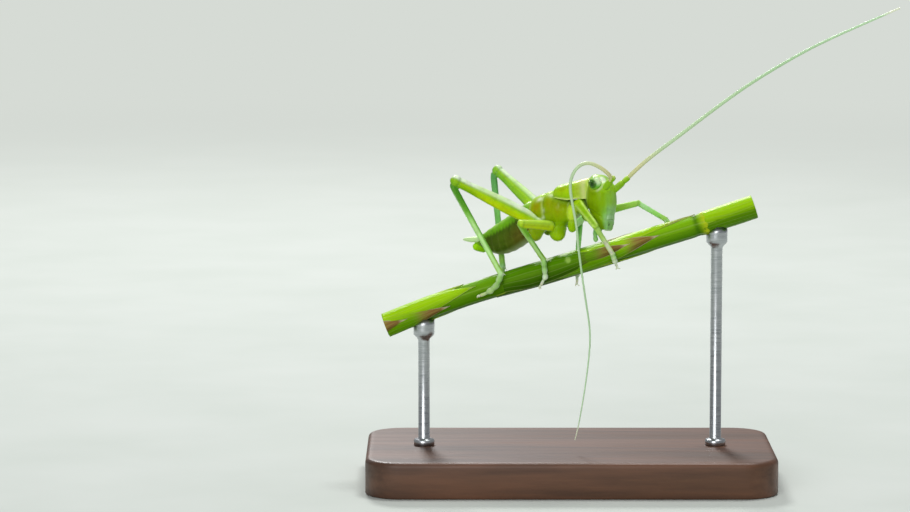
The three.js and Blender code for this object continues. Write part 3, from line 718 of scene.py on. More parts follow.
# ---------------------------------------------------------------- palps and tail lobe
# Soft small parts: two jointed palps that hang beside the mouth, and the last soft lobe of the
# abdomen, bright green, between the two tail prongs.
PALP_HALF = 0.20
for side in ("right", "left"):
    line = bent_line("palp_" + side, head_at)
    line[0] = line[0] - unit(line[1] - line[0]) * 0.2
    sizes = PALP_HALF * np.array([0.8, 0.92, 0.72, 0.92, 0.92, 0.72, 1.05, 0.9])
    shares = [0, 0.3, 0.36, 0.45, 0.62, 0.68, 0.8, 1]
    rings, share, _, way = limb_rings(smoothed(line, 8), shares, sizes, forward, around=24, spacing=0.04)
    lay_flesh(rings, mixed("6CB450", "94CC78", step(share, 0.2, 0.9)), way)
LOBE_RAISED = 0.26
start, end, _ = straight_line("tail_lobe", middle("abdomen"))
lobe_ends = np.array([start - unit(end - start) * 0.3, end]) + UP * LOBE_RAISED
rings, share, _, way = limb_rings(lobe_ends, [0, 0.5, 1], [0.34, 0.36, 0.30], UP)
lay_flesh(rings, mixed("8CCC08", "A4E010", step(share, 0.3, 0.9)), way)


# ---------------------------------------------------------------- skin
# One thin green cuticle over trunk, head, legs, palps and tail lobe, drawn over them all so
# that no seam shows. It is waxy, a little see-through, finely pitted, and paler where it is thin.
VOXEL = 0.068


def neighbour_mean(values, edges):
    """Each corner's value replaced by the mean of its neighbours'."""
    total = np.zeros_like(values)
    count = np.bincount(edges.ravel(), minlength=len(values))[:, None]
    for here, there in ((0, 1), (1, 0)):
        for column in range(values.shape[1]):
            total[:, column] += np.bincount(edges[:, here], values[edges[:, there], column], len(values))
    return total / np.maximum(count, 1)


def solid_mesh(piece):
    """The evaluated mesh of a piece, with its modifiers made real."""
    bpy.context.view_layer.update()
    return bpy.data.meshes.new_from_object(piece.evaluated_get(bpy.context.evaluated_depsgraph_get()))


def paint(mesh, name, values):
    """Stores a number or a colour at each corner of a mesh."""
    values = np.asarray(values, float)
    if values.ndim == 1:
        mesh.attributes.new(name, "FLOAT", "POINT").data.foreach_set("value", values)
    else:
        values = np.hstack([np.clip(values, 0, 1), np.ones((len(values), 1))])
        mesh.attributes.new(name, "FLOAT_COLOR", "POINT").data.foreach_set("color", values.ravel())


def kept(name, mesh, nodes, slot, **values):
    """A finished piece from its mesh and the values painted on it. Tells the frame what the piece
    rides on and which CAD nodes it stands for. Its slot is not used."""
    for painted_name, painted_values in values.items():
        paint(mesh, painted_name, painted_values)
    piece = placed(name, mesh)
    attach(piece, "root")
    if nodes:
        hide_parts(*nodes)


def value_of(tree, name, output):
    """A value that is painted on the mesh, as the shader reads it."""
    return add(tree, "ShaderNodeAttribute", attribute_name=name).outputs[output]


def blended(tree, first, second, share=1.0, way="MULTIPLY"):
    """One colour laid over another, or multiplied by it. A code is a plain colour."""
    second = (*linear(second), 1) if isinstance(second, str) else second
    sockets = {0: share, 6: first, 7: second}
    return add(tree, "ShaderNodeMix", sockets, data_type="RGBA", blend_type=way).outputs[2]


def bump(tree, height, strength, distance):
    """A surface roughened a little by a height."""
    sockets = {"Strength": strength, "Distance": distance, "Height": height}
    return add(tree, "ShaderNodeBump", sockets).outputs["Normal"]


cuticle, tree, shader, place = new_material("green_cuticle", 0.38)
cloud = noise(tree, place, 1500.0, 4.0, Roughness=0.6)
pits = add(tree, "ShaderNodeTexVoronoi", {"Vector": place, "Scale": 8000.0}).outputs["Distance"]
mottle = ramp(tree, cloud, (0.25, 0.74), (0.5, 0.96), (0.75, 1.0))
coloured = blended(tree, value_of(tree, "tint", "Color"), mottle)
fleck = worked(tree, "MULTIPLY", ramp(tree, pits, (0.0, 1.0), (0.22, 0.0)), 0.08)
fill(tree, shader, {
    "Base Color": blended(tree, coloured, "DDF0B8", fleck, "MIX"),
    "Roughness": ramp(tree, cloud, (0.3, 0.32), (0.7, 0.46)),
    "Normal": bump(tree, worked(tree, "ADD", noise(tree, place, 9000.0, 2.0), pits), 0.35, 0.00002),
    "Subsurface Weight": 0.12, "Subsurface Radius": (0.5, 1.0, 0.25), "Subsurface Scale": 0.0004,
    "Specular IOR Level": 0.25, "Specular Tint": (0.75, 0.95, 0.10, 1),
    "Coat Weight": 0.05, "Coat Roughness": 0.16})

flesh_corners, flesh_faces = merged(flesh["solid"])
raw = bpy.data.meshes.new("flesh")
raw.from_pydata(flesh_corners.tolist(), [], flesh_faces)
draft = placed("flesh", raw)
drawn = draft.modifiers.new("drawn_over", "REMESH")
drawn.mode = "VOXEL"
drawn.voxel_size = VOXEL
skin_mesh = solid_mesh(draft)
bpy.data.objects.remove(draft)
corners, edges = read(skin_mesh.vertices, "co", 3), read(skin_mesh.edges, "vertices", 2, int)
for _ in range(3):  # each pair of steps smooths the skin and then gives back the size it lost
    for weight in (0.5, -0.52):
        corners = corners + weight * (neighbour_mean(corners, edges) - corners)

known = KDTree(len(flesh_corners))
for i, point in enumerate(flesh_corners):
    known.insert(point, i)
known.balance()
flesh_tint, flesh_lie, flesh_patch = (np.vstack(flesh[name]) for name in ("tint", "lie", "patch"))
nearest = np.array([[hit[1] for hit in known.find_n(point, 3)] for point in corners])
skin_tint = flesh_tint[nearest].mean(1)
for _ in range(2):
    skin_tint = skin_tint / 2 + neighbour_mean(skin_tint, edges) / 2
skin_mesh.vertices.foreach_set("co", (corners * MM).ravel())
skin_mesh.materials.clear()
skin_mesh.materials.append(cuticle)
skin_mesh.shade_smooth()
flesh_nodes = ["head", "prothorax", "mesothorax", "metathorax", "abdomen",
               "tail_lobe", "palp_right", "palp_left"]
flesh_nodes += [part + "_" + leg for leg in legs for part in ("coxa", "femur", "tibia", "foot")]
kept("skin", skin_mesh, flesh_nodes, "skin", tint=skin_tint)


# ---------------------------------------------------------------- eyes
# Two bulging compound eyes of about 2,500 six-sided facets each. The pale green eye shows one
# dark spot where it looks straight out. They are set in the head as their CAD solids are.
def new_tree(name, numbers):
    """A geometry tree with named number inputs, its input node and its output node."""
    tree = bpy.data.node_groups.new(name, "GeometryNodeTree")
    tree.interface.new_socket("Geometry", in_out="INPUT", socket_type="NodeSocketGeometry")
    tree.interface.new_socket("Geometry", in_out="OUTPUT", socket_type="NodeSocketGeometry")
    for number, kind in numbers.items():
        tree.interface.new_socket(number, in_out="INPUT", socket_type=kind)
    return tree, add(tree, "NodeGroupInput").outputs, add(tree, "NodeGroupOutput")


def close_tree(tree, result, output, material):
    """Ends a geometry tree: instances made real, then the material."""
    real = add(tree, "GeometryNodeRealizeInstances", {"Geometry": result})
    dressed = add(tree, "GeometryNodeSetMaterial", {"Geometry": real.outputs[0], "Material": material})
    tree.links.new(dressed.outputs[0], output.inputs[0])


def grown(tree, mesh, **numbers):
    """The mesh that a geometry tree makes from another, with the tree's named inputs set."""
    draft = placed("draft", mesh)
    modifier = draft.modifiers.new("grown", "NODES")
    modifier.node_group = tree
    for item in tree.interface.items_tree:
        if item.item_type == "SOCKET" and item.in_out == "INPUT" and item.name in numbers:
            modifier[item.identifier] = numbers[item.name]
    result = solid_mesh(draft)
    bpy.data.objects.remove(draft)
    return result


def degrees_off(ways, direction):
    """The angle between each way and one direction."""
    return np.degrees(np.arccos(np.clip(ways @ unit(np.array(direction)), -1, 1)))


eye_gloss, tree, shader, place = new_material("eye", 0.16)
hazed = ramp(tree, noise(tree, place, 4000.0, 3.0), (0.3, 0.82), (0.7, 1.0))
fill(tree, shader, {
    "Base Color": blended(tree, value_of(tree, "tint", "Color"), hazed),
    "Coat Weight": 0.3, "Coat Roughness": 0.08, "Specular IOR Level": 0.3,
    "Subsurface Weight": 0.1, "Subsurface Scale": 0.0002})

facets, given, output = new_tree("eye_facets", {
    "fineness": "NodeSocketInt", "facet rise": "NodeSocketFloat", "facet top": "NodeSocketFloat"})
ball = add(facets, "GeometryNodeMeshIcoSphere", {"Radius": 1.0, "Subdivisions": given["fineness"]})
cells = add(facets, "GeometryNodeDualMesh", {"Mesh": ball.outputs[0]})
risen = add(facets, "GeometryNodeExtrudeMesh", {
    "Mesh": cells.outputs[0], "Offset Scale": given["facet rise"]}, mode="FACES").outputs
topped = add(facets, "GeometryNodeScaleElements", {
    "Geometry": risen["Mesh"], "Selection": risen["Top"], "Scale": given["facet top"]})
close_tree(facets, topped.outputs[0], output, eye_gloss)
FACETS = {"fineness": 5, "facet rise": 0.012, "facet top": 0.72}
IN_SOCKET = 0.985  # the eye is this share of the size of the hollow it sits in
for side, sign in (("right", -1), ("left", 1)):
    mesh = grown(facets, bpy.data.meshes.new("eye_" + side), **FACETS)
    ball = read(mesh.vertices, "co", 3)
    own = ball * (EYE_HALF * IN_SOCKET)
    corners = middle("eye_" + side) + own @ np.stack([forward, head_left, head_up])
    mesh.vertices.foreach_set("co", (corners * MM).ravel())
    way = unit(ball)
    spot = degrees_off(way, (-0.12, sign * 0.95, -0.20))
    behind = degrees_off(way, (-0.62, sign * 0.75, 0.05))
    kept("eye_ball_" + side, mesh, ["eye_" + side], "eye", tint=painted(
        "74C42C",
        ("A4DC74", step(way[:, 2], -0.1, 0.7)),
        # Painted highlight: a near-white patch on the upper front of each eye.
        ("E6FCCC", 0.9 * step(-degrees_off(way, (0.72, sign * 0.50, 0.52)), -64, -24)),
        ("3A7008", 0.95 * step(-spot, -50, -30)),
        ("3E7808", 0.85 * step(-behind, -34, -20)),
        ("1E4A04", 0.9 * step(-spot, -26, -12)),
        ("8CA814", 0.5 * step(-way[:, 2], 0.6, 0.9))))


# ---------------------------------------------------------------- shield
# The pronotum: one saddle-shaped plate over the front of the thorax, a tenth of a millimetre
# thick, with a pale rolled rim round its free edges and a pale band behind the head.
def grid_faces(count, across, start=0, turned=False):
    """Faces of a grid of points, from a first corner, turned over or not."""
    row, place = np.meshgrid(np.arange(count - 1), np.arange(across - 1), indexing="ij")
    a = start + row * across + place
    corners = [a, a + across, a + across + 1, a + 1] if turned else [a, a + 1, a + across + 1, a + across]
    return np.stack(corners, -1).reshape(-1, 4).tolist()


def shell(outer, inner):
    """Corners and faces of a closed shell between two grids of points."""
    count, across = outer.shape[:2]
    size = count * across
    faces = grid_faces(count, across, 0, True) + grid_faces(count, across, size)
    number = np.arange(size).reshape(count, across)
    edge = [*number[0], *number[1:, -1], *number[-1, -2::-1], *number[-2:0:-1, 0]]
    faces += [[here, there, there + size, here + size] for here, there in zip(edge, edge[1:] + edge[:1])]
    return np.vstack([outer.reshape(-1, 3), inner.reshape(-1, 3)]), faces


rows = spread(smoothed(slices(solid_of("pronotum"), 22, 0.02), 1), 110)
along, top, bottom, left_side, right_side = rows.T[:, :, None]
half, mid = (left_side - right_side) / 2, (left_side + right_side) / 2
NECK_ROW = 75  # from this row on the flaps hang at least as low as here
bottom[NECK_ROW:] = np.minimum(bottom[NECK_ROW:], bottom[NECK_ROW])
bottom = bottom + 0.26 * step(top - bottom, 0.6, 1.8)  # the finished flaps are cut a little shorter
long = np.ptp(along)
share = (along - along[0]) / long
arch = np.linspace(-1, 1, 111)[None]
aside = np.abs(arch)
SHOULDER = 0.62  # share of the arch taken by the rounded back; the rest hangs as side flaps
turn = np.clip(aside / SHOULDER, 0, 1) * np.pi / 2
out, rise = np.abs(np.sin(turn)) ** 0.78, np.abs(np.cos(turn)) ** 0.78
hang = np.clip((aside - SHOULDER) / (1 - SHOULDER), 0, 1)
shoulder_height = bottom + 0.55 * (top - bottom)
z = shoulder_height + (top - shoulder_height) * rise - (shoulder_height - bottom) * hang * 0.98
z = z - 0.32 * bell(share, 0, 0.10)  # the hind edge bends down on to the thorax
y = mid + np.sign(arch) * half * (out - 0.10 * hang ** 2 - 0.20 * step(share, 0.72, 1.0)) * 0.985
curl = 0.16 * step(-share, -0.10, 0.0) * step(hang, 0, 1)  # the hind corner of each flap is rounded off
reach_on = 0.16 * step(share, 0.55, 1.0) * aside ** 1.5  # the flaps reach on round the neck
x = along + curl + reach_on
outer = x[..., None] * forward + y[..., None] * left + z[..., None] * UP
flap_gap = (1 - hang) * 0.55 + np.where(hang > 0, 0, 9)
rim_gap = np.minimum(np.minimum(share * long, flap_gap), (1 - share) * long)
under = bottom + 0.3 * (top - bottom) - 0.6 * bell(share, 0, 0.16)
outward = unit(outer - (along * forward + mid * left + under * UP)[:, None, :])
relief = 0.045 * bell(rim_gap, 0.04, 0.045) + 0.035 * groove(arch, 0.03)
relief = relief + 0.045 * groove(share - 0.58 + 0.10 * aside, 0.03) * step(-aside, -0.75, -0.55)
relief = relief + 0.03 * groove(share - 0.30 - 0.08 * aside, 0.025) * step(-aside, -0.6, -0.4)
outer = outer + (relief - 0.02)[..., None] * outward
SHIELD_THICK = 0.10
tint = painted(
    "ACD80A",
    ("A6DA4C", step(-aside, -0.62, -0.2)),
    ("9AC810", step(hang, 0.1, 0.8)),
    ("B4A812", 0.4 * bell(share, 0.40, 0.12) * bell(aside, 0.5, 0.12)),
    ("C8E644", 0.8 * step(share, 0.62, 0.74)),
    ("E4EC9C", 0.85 * bell(share, 0.88, 0.06)),
    ("DCCB9A", 0.7 * bell(share, 0.80, 0.05) * np.exp(-(arch / 0.42) ** 4)),
    ("A8CC28", 0.6 * bell(share, 0.66, 0.03)),
    ("E4F890", 0.9 * bell(rim_gap, 0.03, 0.06)),
    ("DDEFA8", 0.4 * bell(arch, 0, 0.04)))
shield = make_mesh("shield", *shell(outer, outer - SHIELD_THICK * outward), cuticle)
kept("shield", shield, ["pronotum"], "shield", tint=np.vstack([tint.reshape(-1, 3)] * 2))


# ---------------------------------------------------------------- lip plate
# Clypeus above and labrum below: one pale bluish-green plate with a seam across, lying over the
# jaws. A small dent at each side is painted nearly black. The rows read as the head's do.
LIP_ROWS = [
    [-0.74, 1.19, 0.30, 0.08, 0.26], [-0.83, 1.18, 0.48, 0.14, 0.3], [-1.15, 1.15, 0.64, 0.185, 0.3],
    [-1.56, 1.13, 0.67, 0.19, 0.31], [-1.75, 1.12, 0.66, 0.19, 0.31], [-2.14, 1.09, 0.61, 0.16, 0.33],
    [-2.32, 1.06, 0.50, 0.12, 0.28], [-2.38, 1.04, 0.36, 0.07, 0.22]]


def stack_piece(name, stacks, nodes, slot):
    """A piece of closed lengths of cuticle, each a stack of rings with its colours."""
    mesh = make_mesh(name, *merged([closed_stack(rings) for rings, _ in stacks]), cuticle)
    kept(name, mesh, nodes, slot, tint=np.vstack([with_ends(rings, tint) for rings, tint in stacks]))


own, turn, _ = head_rings(LIP_ROWS, 90, 80, 2.7)
x, y, z = np.moveaxis(own, -1, 0)
pit_gap = np.sqrt((np.abs(y) - 0.40) ** 2 + ((z + 1.88) * 0.8) ** 2) + np.where(np.sin(turn) > 0, 0, 9)
seam = z + 1.42 + 0.12 * np.abs(y)
pleats, pleated = np.sin(np.abs(y) * 22), step(-z, 1.0, 1.2) * step(z, -1.6, -1.4)
relief = (0.06 * groove(seam, 0.045) + 0.04 * groove(y, 0.08) * step(-z, 1.8, 2.1)
          - 0.07 * bell(pit_gap, 0, 0.08) + 0.010 * pleats * pleated) * step(np.sin(turn), -0.2, 0.3)
middles = np.stack(np.broadcast_arrays(x.mean(1, keepdims=True), 0 * y, z), -1)
own = own + relief[..., None] * unit(own - middles)
stack_piece("lip_plate", [(in_model(own), painted(
    "94CE80",
    ("A6D894", step(-z, 0.95, 1.3)),
    ("92CC74", step(-z, 1.42, 1.7)),
    ("D5F0CE", 0.8 * step(-z, 2.22, 2.34)),
    ("C8EAC0", 0.35 * step(pleats, 0.4, 0.9) * pleated),
    ("4E7F3A", 0.6 * bell(seam, 0, 0.04)),
    ("16300A", 0.97 * step(-pit_gap, -0.10, -0.055))))], ["labrum"], "pale_skin")


# ---------------------------------------------------------------- feelers
# Each feeler has a green barrel and a bead at its root, then about two hundred tiny rings that
# thin out to a hair. One points forward and up, the other arches over the face and hangs down.
feeler_skin, tree, shader, place = new_material("feeler", 0.42)
hue = ramp(tree, value_of(tree, "share", "Fac"), (0.0, "C8CE86"), (0.06, "D8D79C"), (0.16, "C6E2B0"),
           (0.6, "B7DCA9"), (0.94, "C4E6B8"), (0.97, "F0F6D8"))
grain = noise(tree, place, 12000.0, 2.0)
fill(tree, shader, {
    "Base Color": blended(tree, hue, ramp(tree, value_of(tree, "banding", "Fac"), (0.0, 0.80), (0.5, 1.0))),
    "Roughness": ramp(tree, grain, (0.3, 0.34), (0.7, 0.5)),
    "Normal": bump(tree, grain, 0.3, 0.00001)})

ringed, given, output = new_tree("feeler_rings", {
    "ring length": "NodeSocketFloat", "ring depth": "NodeSocketFloat", "sides": "NodeSocketInt"})
POINTS_A_RING = 4
girth = add(ringed, "GeometryNodeInputNamedAttribute", {"Name": "girth"}, data_type="FLOAT").outputs[0]
path = add(ringed, "GeometryNodeMeshToCurve", {"Mesh": given["Geometry"]})
apart = worked(ringed, "MULTIPLY", given["ring length"], 1 / POINTS_A_RING)
stops = add(ringed, "GeometryNodeResampleCurve", {"Curve": path.outputs[0], "Length": apart}, mode="LENGTH")
number = add(ringed, "GeometryNodeInputIndex").outputs[0]
is_joint = worked(ringed, "LESS_THAN", worked(ringed, "MODULO", number, float(POINTS_A_RING)), 0.5)
dip = worked(ringed, "MULTIPLY", is_joint, given["ring depth"])
radius = worked(ringed, "MULTIPLY", girth, worked(ringed, "SUBTRACT", 1.0, dip))
marked = add(ringed, "GeometryNodeSetCurveRadius", {"Curve": stops.outputs[0], "Radius": radius})
along_it = add(ringed, "GeometryNodeSplineParameter").outputs["Factor"]
for name, value in (("share", along_it), ("banding", worked(ringed, "SUBTRACT", 1.0, is_joint))):
    marked = add(ringed, "GeometryNodeStoreNamedAttribute", {
        "Geometry": marked.outputs[0], "Name": name, "Value": value}, data_type="FLOAT", domain="POINT")
circle = add(ringed, "GeometryNodeCurvePrimitiveCircle", {"Resolution": given["sides"], "Radius": 1.0})
tube = add(ringed, "GeometryNodeCurveToMesh", {
    "Curve": marked.outputs[0], "Profile Curve": circle.outputs["Curve"],
    "Scale": radius, "Fill Caps": True})
close_tree(ringed, tube.outputs[0], output, feeler_skin)


def follow(solid, start, heading, pace=0.15, reach=1.0):
    """The middle line of a bending tube, found one slice at a time from its root."""
    line = [start]
    while True:
        centre, _ = ring_of(solid, line[-1] + heading * pace, heading, reach)
        if centre is None:
            return np.array(line)
        heading = unit(heading / 2 + unit(centre - line[-1]) / 2)
        line.append(centre)


FEELERS = {  # side: (CAD lengths, radius in millimetres at distances from the bead)
    "right": (("base", "arch", "fall", "hang", "tip"),
              ((0, 0.18), (3, 0.155), (7, 0.115), (13, 0.09), (20, 0.068), (28, 0.045))),
    "left": (("base", "near", "mid", "tip"),
             ((0, 0.18), (3, 0.165), (10, 0.145), (20, 0.115), (28, 0.08))),
}
RING_LONG = 0.13
BARREL_HALF = 0.29
for side, (lengths, radii) in FEELERS.items():
    nodes = ["antenna_%s_%s" % (side, length) for length in lengths]
    root, bead, _ = straight_line(nodes[0], head_at)
    way = unit(bead - root)
    line = smoothed(follow(solid_of(*nodes), root, way), 6)
    from_bead = np.linalg.norm(line - bead, axis=1)[:20].argmin()
    line, at = even_line(line[max(from_bead - 4, 0):], 0.12)
    mesh = bpy.data.meshes.new("path")
    mesh.from_pydata((line * MM).tolist(), [(i, i + 1) for i in range(len(line) - 1)], [])
    paint(mesh, "girth", np.interp(at, *np.array(radii).T) * MM)
    tube_mesh = grown(ringed, mesh, **{"ring length": RING_LONG * MM, "ring depth": 0.07, "sides": 12})
    tube_mesh.shade_smooth()
    kept("feeler_" + side, tube_mesh, nodes[1:], "feeler")

    sizes = BARREL_HALF * np.array([0.72, 0.92, 0.97, 0.95, 0.84, 0.62, 0.74, 0.80, 0.74, 0.6])
    rings, share, turn, _ = limb_rings(
        [root - way * 0.12, bead], [0, 0.12, 0.3, 0.5, 0.60, 0.64, 0.70, 0.82, 0.93, 1], sizes, UP,
        around=36, spacing=0.025)
    stack_piece("feeler_root_" + side, [(rings, painted(
        "8FC422",
        ("B9DE52", step(np.sin(turn), 0.0, 0.9)),
        ("6E9C1C", 0.7 * bell(share, 0.64, 0.02)),
        ("D6E68A", 0.7 * step(share, 0.88, 1.0))))], nodes[:1], "feeler")


# ---------------------------------------------------------------- tail prongs and claws
# Two pale pointed cerci stand out behind the tail lobe. Each foot ends in a pair of hooked
# claws with a small pad between them; tips and prongs are hard, smooth and nearly white.
PRONG = ([0, 0.15, 0.45, 0.7, 0.88, 1], [0.20, 0.24, 0.25, 0.21, 0.15, 0.06])  # shares and half sizes
CLAW = ([0, 0.3, 0.7, 1], [0.075, 0.06, 0.038, 0.012])
PAD = ([0, 0.6, 1], [0.07, 0.09, 0.05])
CLAW_LONG = 0.30
stacks = []
for side in ("right", "left"):
    root, tip, _ = straight_line("cercus_" + side, middle("abdomen"))
    way = unit(tip - root)
    root, tip = root + UP * 0.24, tip + UP * 0.26
    bow = np.cross(way, left) * 0.06
    points = [root - way * 0.2, (root + tip) / 2 + bow, tip]
    rings, share, _, _ = limb_rings(points, *PRONG, UP, spacing=0.03)
    stacks.append((rings, mixed("A4D47C", "C8E6A8", step(share, 0.1, 0.5))))
stack_piece("tail_prongs", stacks, ["cercus_right", "cercus_left"], "pale_skin")

stacks = []
for parts in legs.values():
    way, over, end = parts["foot_way"], parts["foot_over"], parts["foot_end"]
    aside = np.cross(way, over)
    for sign in (-1, 1):
        reach_out = unit(way * 0.8 + aside * sign * 0.6) * CLAW_LONG
        points = [end - way * 0.08 + aside * sign * 0.03, end + reach_out * 0.35 + over * 0.05,
                  end + reach_out * 0.75 + over * 0.02, end + reach_out - over * 0.14]
        rings, share, _, _ = limb_rings(points, *CLAW, over, around=12, spacing=0.03)
        stacks.append((rings, mixed("E6F0D0", "B8945A", step(share, 0.6, 1.0))))
    points = [end - way * 0.05, end + way * 0.06 - over * 0.03, end + way * 0.15 - over * 0.06]
    stacks.append((limb_rings(points, *PAD, over, around=14, spacing=0.03)[0], linear("E6F0D6")))
stack_piece("claws", stacks, [], "pale_skin")


# ---------------------------------------------------------------- spines and spurs
# Short pale thorns stand in rows along the edges of every tibia, with a spur at each corner of
# its end. They are hard cuticle and point down the leg.
thorns, given, output = new_tree("thorns", {"sides": "NodeSocketInt", "thickness": "NodeSocketFloat"})
aim_of = add(thorns, "GeometryNodeInputNamedAttribute", {"Name": "aim"}, data_type="FLOAT_VECTOR")
size_of = add(thorns, "GeometryNodeInputNamedAttribute", {"Name": "size"}, data_type="FLOAT")
cone = add(thorns, "GeometryNodeMeshCone", {
    "Vertices": given["sides"], "Side Segments": 1, "Depth": 1.0,
    "Radius Top": 0.0, "Radius Bottom": given["thickness"]})
turned = add(thorns, "FunctionNodeAlignRotationToVector", {"Vector": aim_of.outputs[0]}, axis="Z")
set_out = add(thorns, "GeometryNodeInstanceOnPoints", {
    "Points": given["Geometry"], "Instance": cone.outputs[0],
    "Rotation": turned.outputs[0], "Scale": size_of.outputs[0]})
close_tree(thorns, set_out.outputs[0], output, cuticle)


def thorn_points(roots, aims, sizes):
    """Loose points in the model, each with the way a thorn grows from it and its length."""
    mesh = bpy.data.meshes.new("thorn_points")
    mesh.from_pydata((np.array(roots) * MM).tolist(), [], [])
    aims = unit(np.array(aims)).ravel()
    mesh.attributes.new("aim", "FLOAT_VECTOR", "POINT").data.foreach_set("vector", aims)
    paint(mesh, "size", np.array(sizes) * MM)
    return mesh


chance = np.random.default_rng(7)
roots, aims, sizes = [], [], []
HIND_ROWS = ((0.75, 0.66), (0.75, -0.66))  # where each row stands: share of the back, share of the side
FRONT_ROWS = ((-0.7, 0.7), (-0.7, -0.7), (0.8, 0.6))
SPURS = ((0.8, 0.6, 0.26), (0.8, -0.6, 0.26), (-0.8, 0.6, 0.36), (-0.8, -0.6, 0.36))  # and the spur's length
for leg, parts in legs.items():
    way, back = parts["shin_way"], parts["shin_back"]
    aside = np.cross(way, back)
    long = np.linalg.norm(parts["ankle"] - parts["shin"])
    size = parts["size"] * 0.86
    pair = leg.split("_")[0]
    count = PAIRS[pair]["spines"]
    for back_share, side_share in HIND_ROWS if pair == "hind" else FRONT_ROWS:
        out = back * back_share + aside * side_share
        for i in range(count):
            share = 0.16 + 0.72 * (i + 0.5 + chance.uniform(-0.15, 0.15)) / count
            roots.append(parts["shin"] + way * share * long + out * size * 0.88)
            aims.append(out * 0.75 + way * 0.7)
            sizes.append(chance.uniform(0.13, 0.19))
    for back_share, side_share, spur in SPURS:
        out = back * back_share + aside * side_share
        roots.append(parts["ankle"] - way * 0.26 + out * size * 0.8)
        aims.append(out * 0.55 + way * 0.85)
        sizes.append(spur)
spine_mesh = grown(thorns, thorn_points(roots, aims, sizes), sides=9, thickness=0.17)
spine_mesh.shade_smooth()
spine_tint = np.broadcast_to(linear("E2EFD0"), (len(spine_mesh.vertices), 3))
kept("spines", spine_mesh, [], "pale_skin", tint=spine_tint)


# ---------------------------------------------------------------- short hairs
# Very short fine hairs grow from the skin and lie towards the tips of legs and body. They are
# thick on the legs and feet and sparse on trunk and face.
HAIRS = 5200
BODY_SHARE, BODY_LENGTH = 0.2, 0.6  # how thick and how long the hairs of trunk and head are beside the legs'
skin_faces = skin_mesh.polygons
centres = read(skin_faces, "center", 3) / MM
normals = read(skin_faces, "normal", 3)
quads = read(skin_faces, "vertices", 4, int)
BODY_POINTS = sum(len(corners) for corners, _ in flesh["solid"][:2])  # trunk and head were laid first
on_body = nearest[quads[:, 0], 0] < BODY_POINTS
weights = read(skin_faces, "area", 1)[:, 0] * np.where(on_body, BODY_SHARE, 1.0)
chosen = chance.choice(len(centres), HAIRS, replace=False, p=weights / weights.sum())
root_hits = np.array([known.find(centres[i])[1] for i in chosen])
hair_aims = unit(normals[chosen] * 0.55 + flesh_lie[root_hits] * 0.75 + chance.normal(0, 0.12, (HAIRS, 3)))
hair_sizes = chance.uniform(0.08, 0.14, HAIRS) * np.where(on_body[chosen], BODY_LENGTH, 1.0)
hair_points = thorn_points(centres[chosen] - normals[chosen] * 0.01, hair_aims, hair_sizes)
hair_mesh = grown(thorns, hair_points, sides=3, thickness=0.07)
per_hair = len(hair_mesh.vertices) // HAIRS
PATCH = 0.003  # each hair takes a spot of the unwrap this wide
spots = np.tile([[0, 0], [PATCH, 0], [PATCH / 2, PATCH], [PATCH / 2, PATCH / 2]], (HAIRS, 1))
hair_patch = np.repeat(flesh_patch[root_hits], per_hair, 0) + spots - PATCH / 2
while hair_mesh.uv_layers:
    hair_mesh.uv_layers.remove(hair_mesh.uv_layers[0])
loops = read(hair_mesh.loops, "vertex_index", 1, int)[:, 0]
hair_mesh.uv_layers.new(name="OFBake").data.foreach_set("uv", hair_patch[loops].ravel())
hair_tint = np.repeat(mixed(flesh_tint[root_hits], "EEF7DC", 0.45), per_hair, 0)
kept("short_hairs", hair_mesh, [], "skin", tint=hair_tint)


# ---------------------------------------------------------------- grass spike
# The perch is a short cut length of a jointed grass spike, round and wavy. Long pointed scales
# overlap on it like tiles, green with fine pale veins, and brown-pink and papery at their tips.
VEINS = 19.0
spike_skin, tree, shader, place = new_material("grass_spike", 0.42)
veins_on = value_of(tree, "across", "Fac")
strand_at = add(tree, "ShaderNodeCombineXYZ", {"X": veins_on, "Y": value_of(tree, "along", "Fac")})
strand_map = add(tree, "ShaderNodeMapping", {"Vector": strand_at.outputs[0], "Scale": (14.0, 0.30, 1.0)})
strands = noise(tree, strand_map.outputs[0], 1.0, 3.0)
vein = worked(tree, "SINE", worked(tree, "MULTIPLY", veins_on, VEINS))
vein_line = ramp(tree, vein, (0.80, 0.0), (0.99, 1.0))
shade = ramp(tree, strands, (0.3, 0.80), (0.55, 0.96), (0.75, 1.0))
green = blended(tree, value_of(tree, "tint", "Color"), shade)
raised = worked(tree, "ADD", strands, vein_line)
heights = worked(tree, "MULTIPLY_ADD", noise(tree, place, 7000.0, 3.0), 0.4, raised)
fill(tree, shader, {
    "Base Color": blended(tree, green, "D4E88A", worked(tree, "MULTIPLY", vein_line, 0.10), "MIX"),
    "Roughness": ramp(tree, strands, (0.3, 0.50), (0.7, 0.34)),
    "Normal": bump(tree, heights, 0.5, 0.00003),
    "Specular IOR Level": 0.24, "Specular Tint": (0.8, 0.95, 0.15, 1), "Subsurface Weight": 0.08,
    "Subsurface Scale": 0.0005, "Subsurface Radius": (0.5, 1.0, 0.2)})

SPIKE_THICK = 2
perch = solid_of("perch_spike")
slope_way = unit(np.array([np.ptp(perch[0][:, 0]), 0, np.ptp(perch[0][:, 2]) - SPIKE_THICK]))
reach = perch[0] @ slope_way
stations = np.linspace(reach.min() + 0.3, reach.max() - 0.3, 40)
base_point = middle("perch_spike") - (middle("perch_spike") @ slope_way) * slope_way
stem_line = smoothed([ring_of(perch, base_point + slope_way * s, slope_way)[0] for s in stations], 4)
first, last = unit(stem_line[0] - stem_line[1]), unit(stem_line[-1] - stem_line[-2])
stem_line = np.vstack([stem_line[0] + first * 0.15, stem_line, stem_line[-1] + last * 0.15])
stem_line, stem_at = even_line(stem_line, 0.06)
STEM_LONG = stem_at[-1]
FRONT = np.array([0, -1.0, 0])
stem_up = np.cross(FRONT, unit(np.gradient(stem_line, axis=0)))
STEM_RADIUS = 0.90
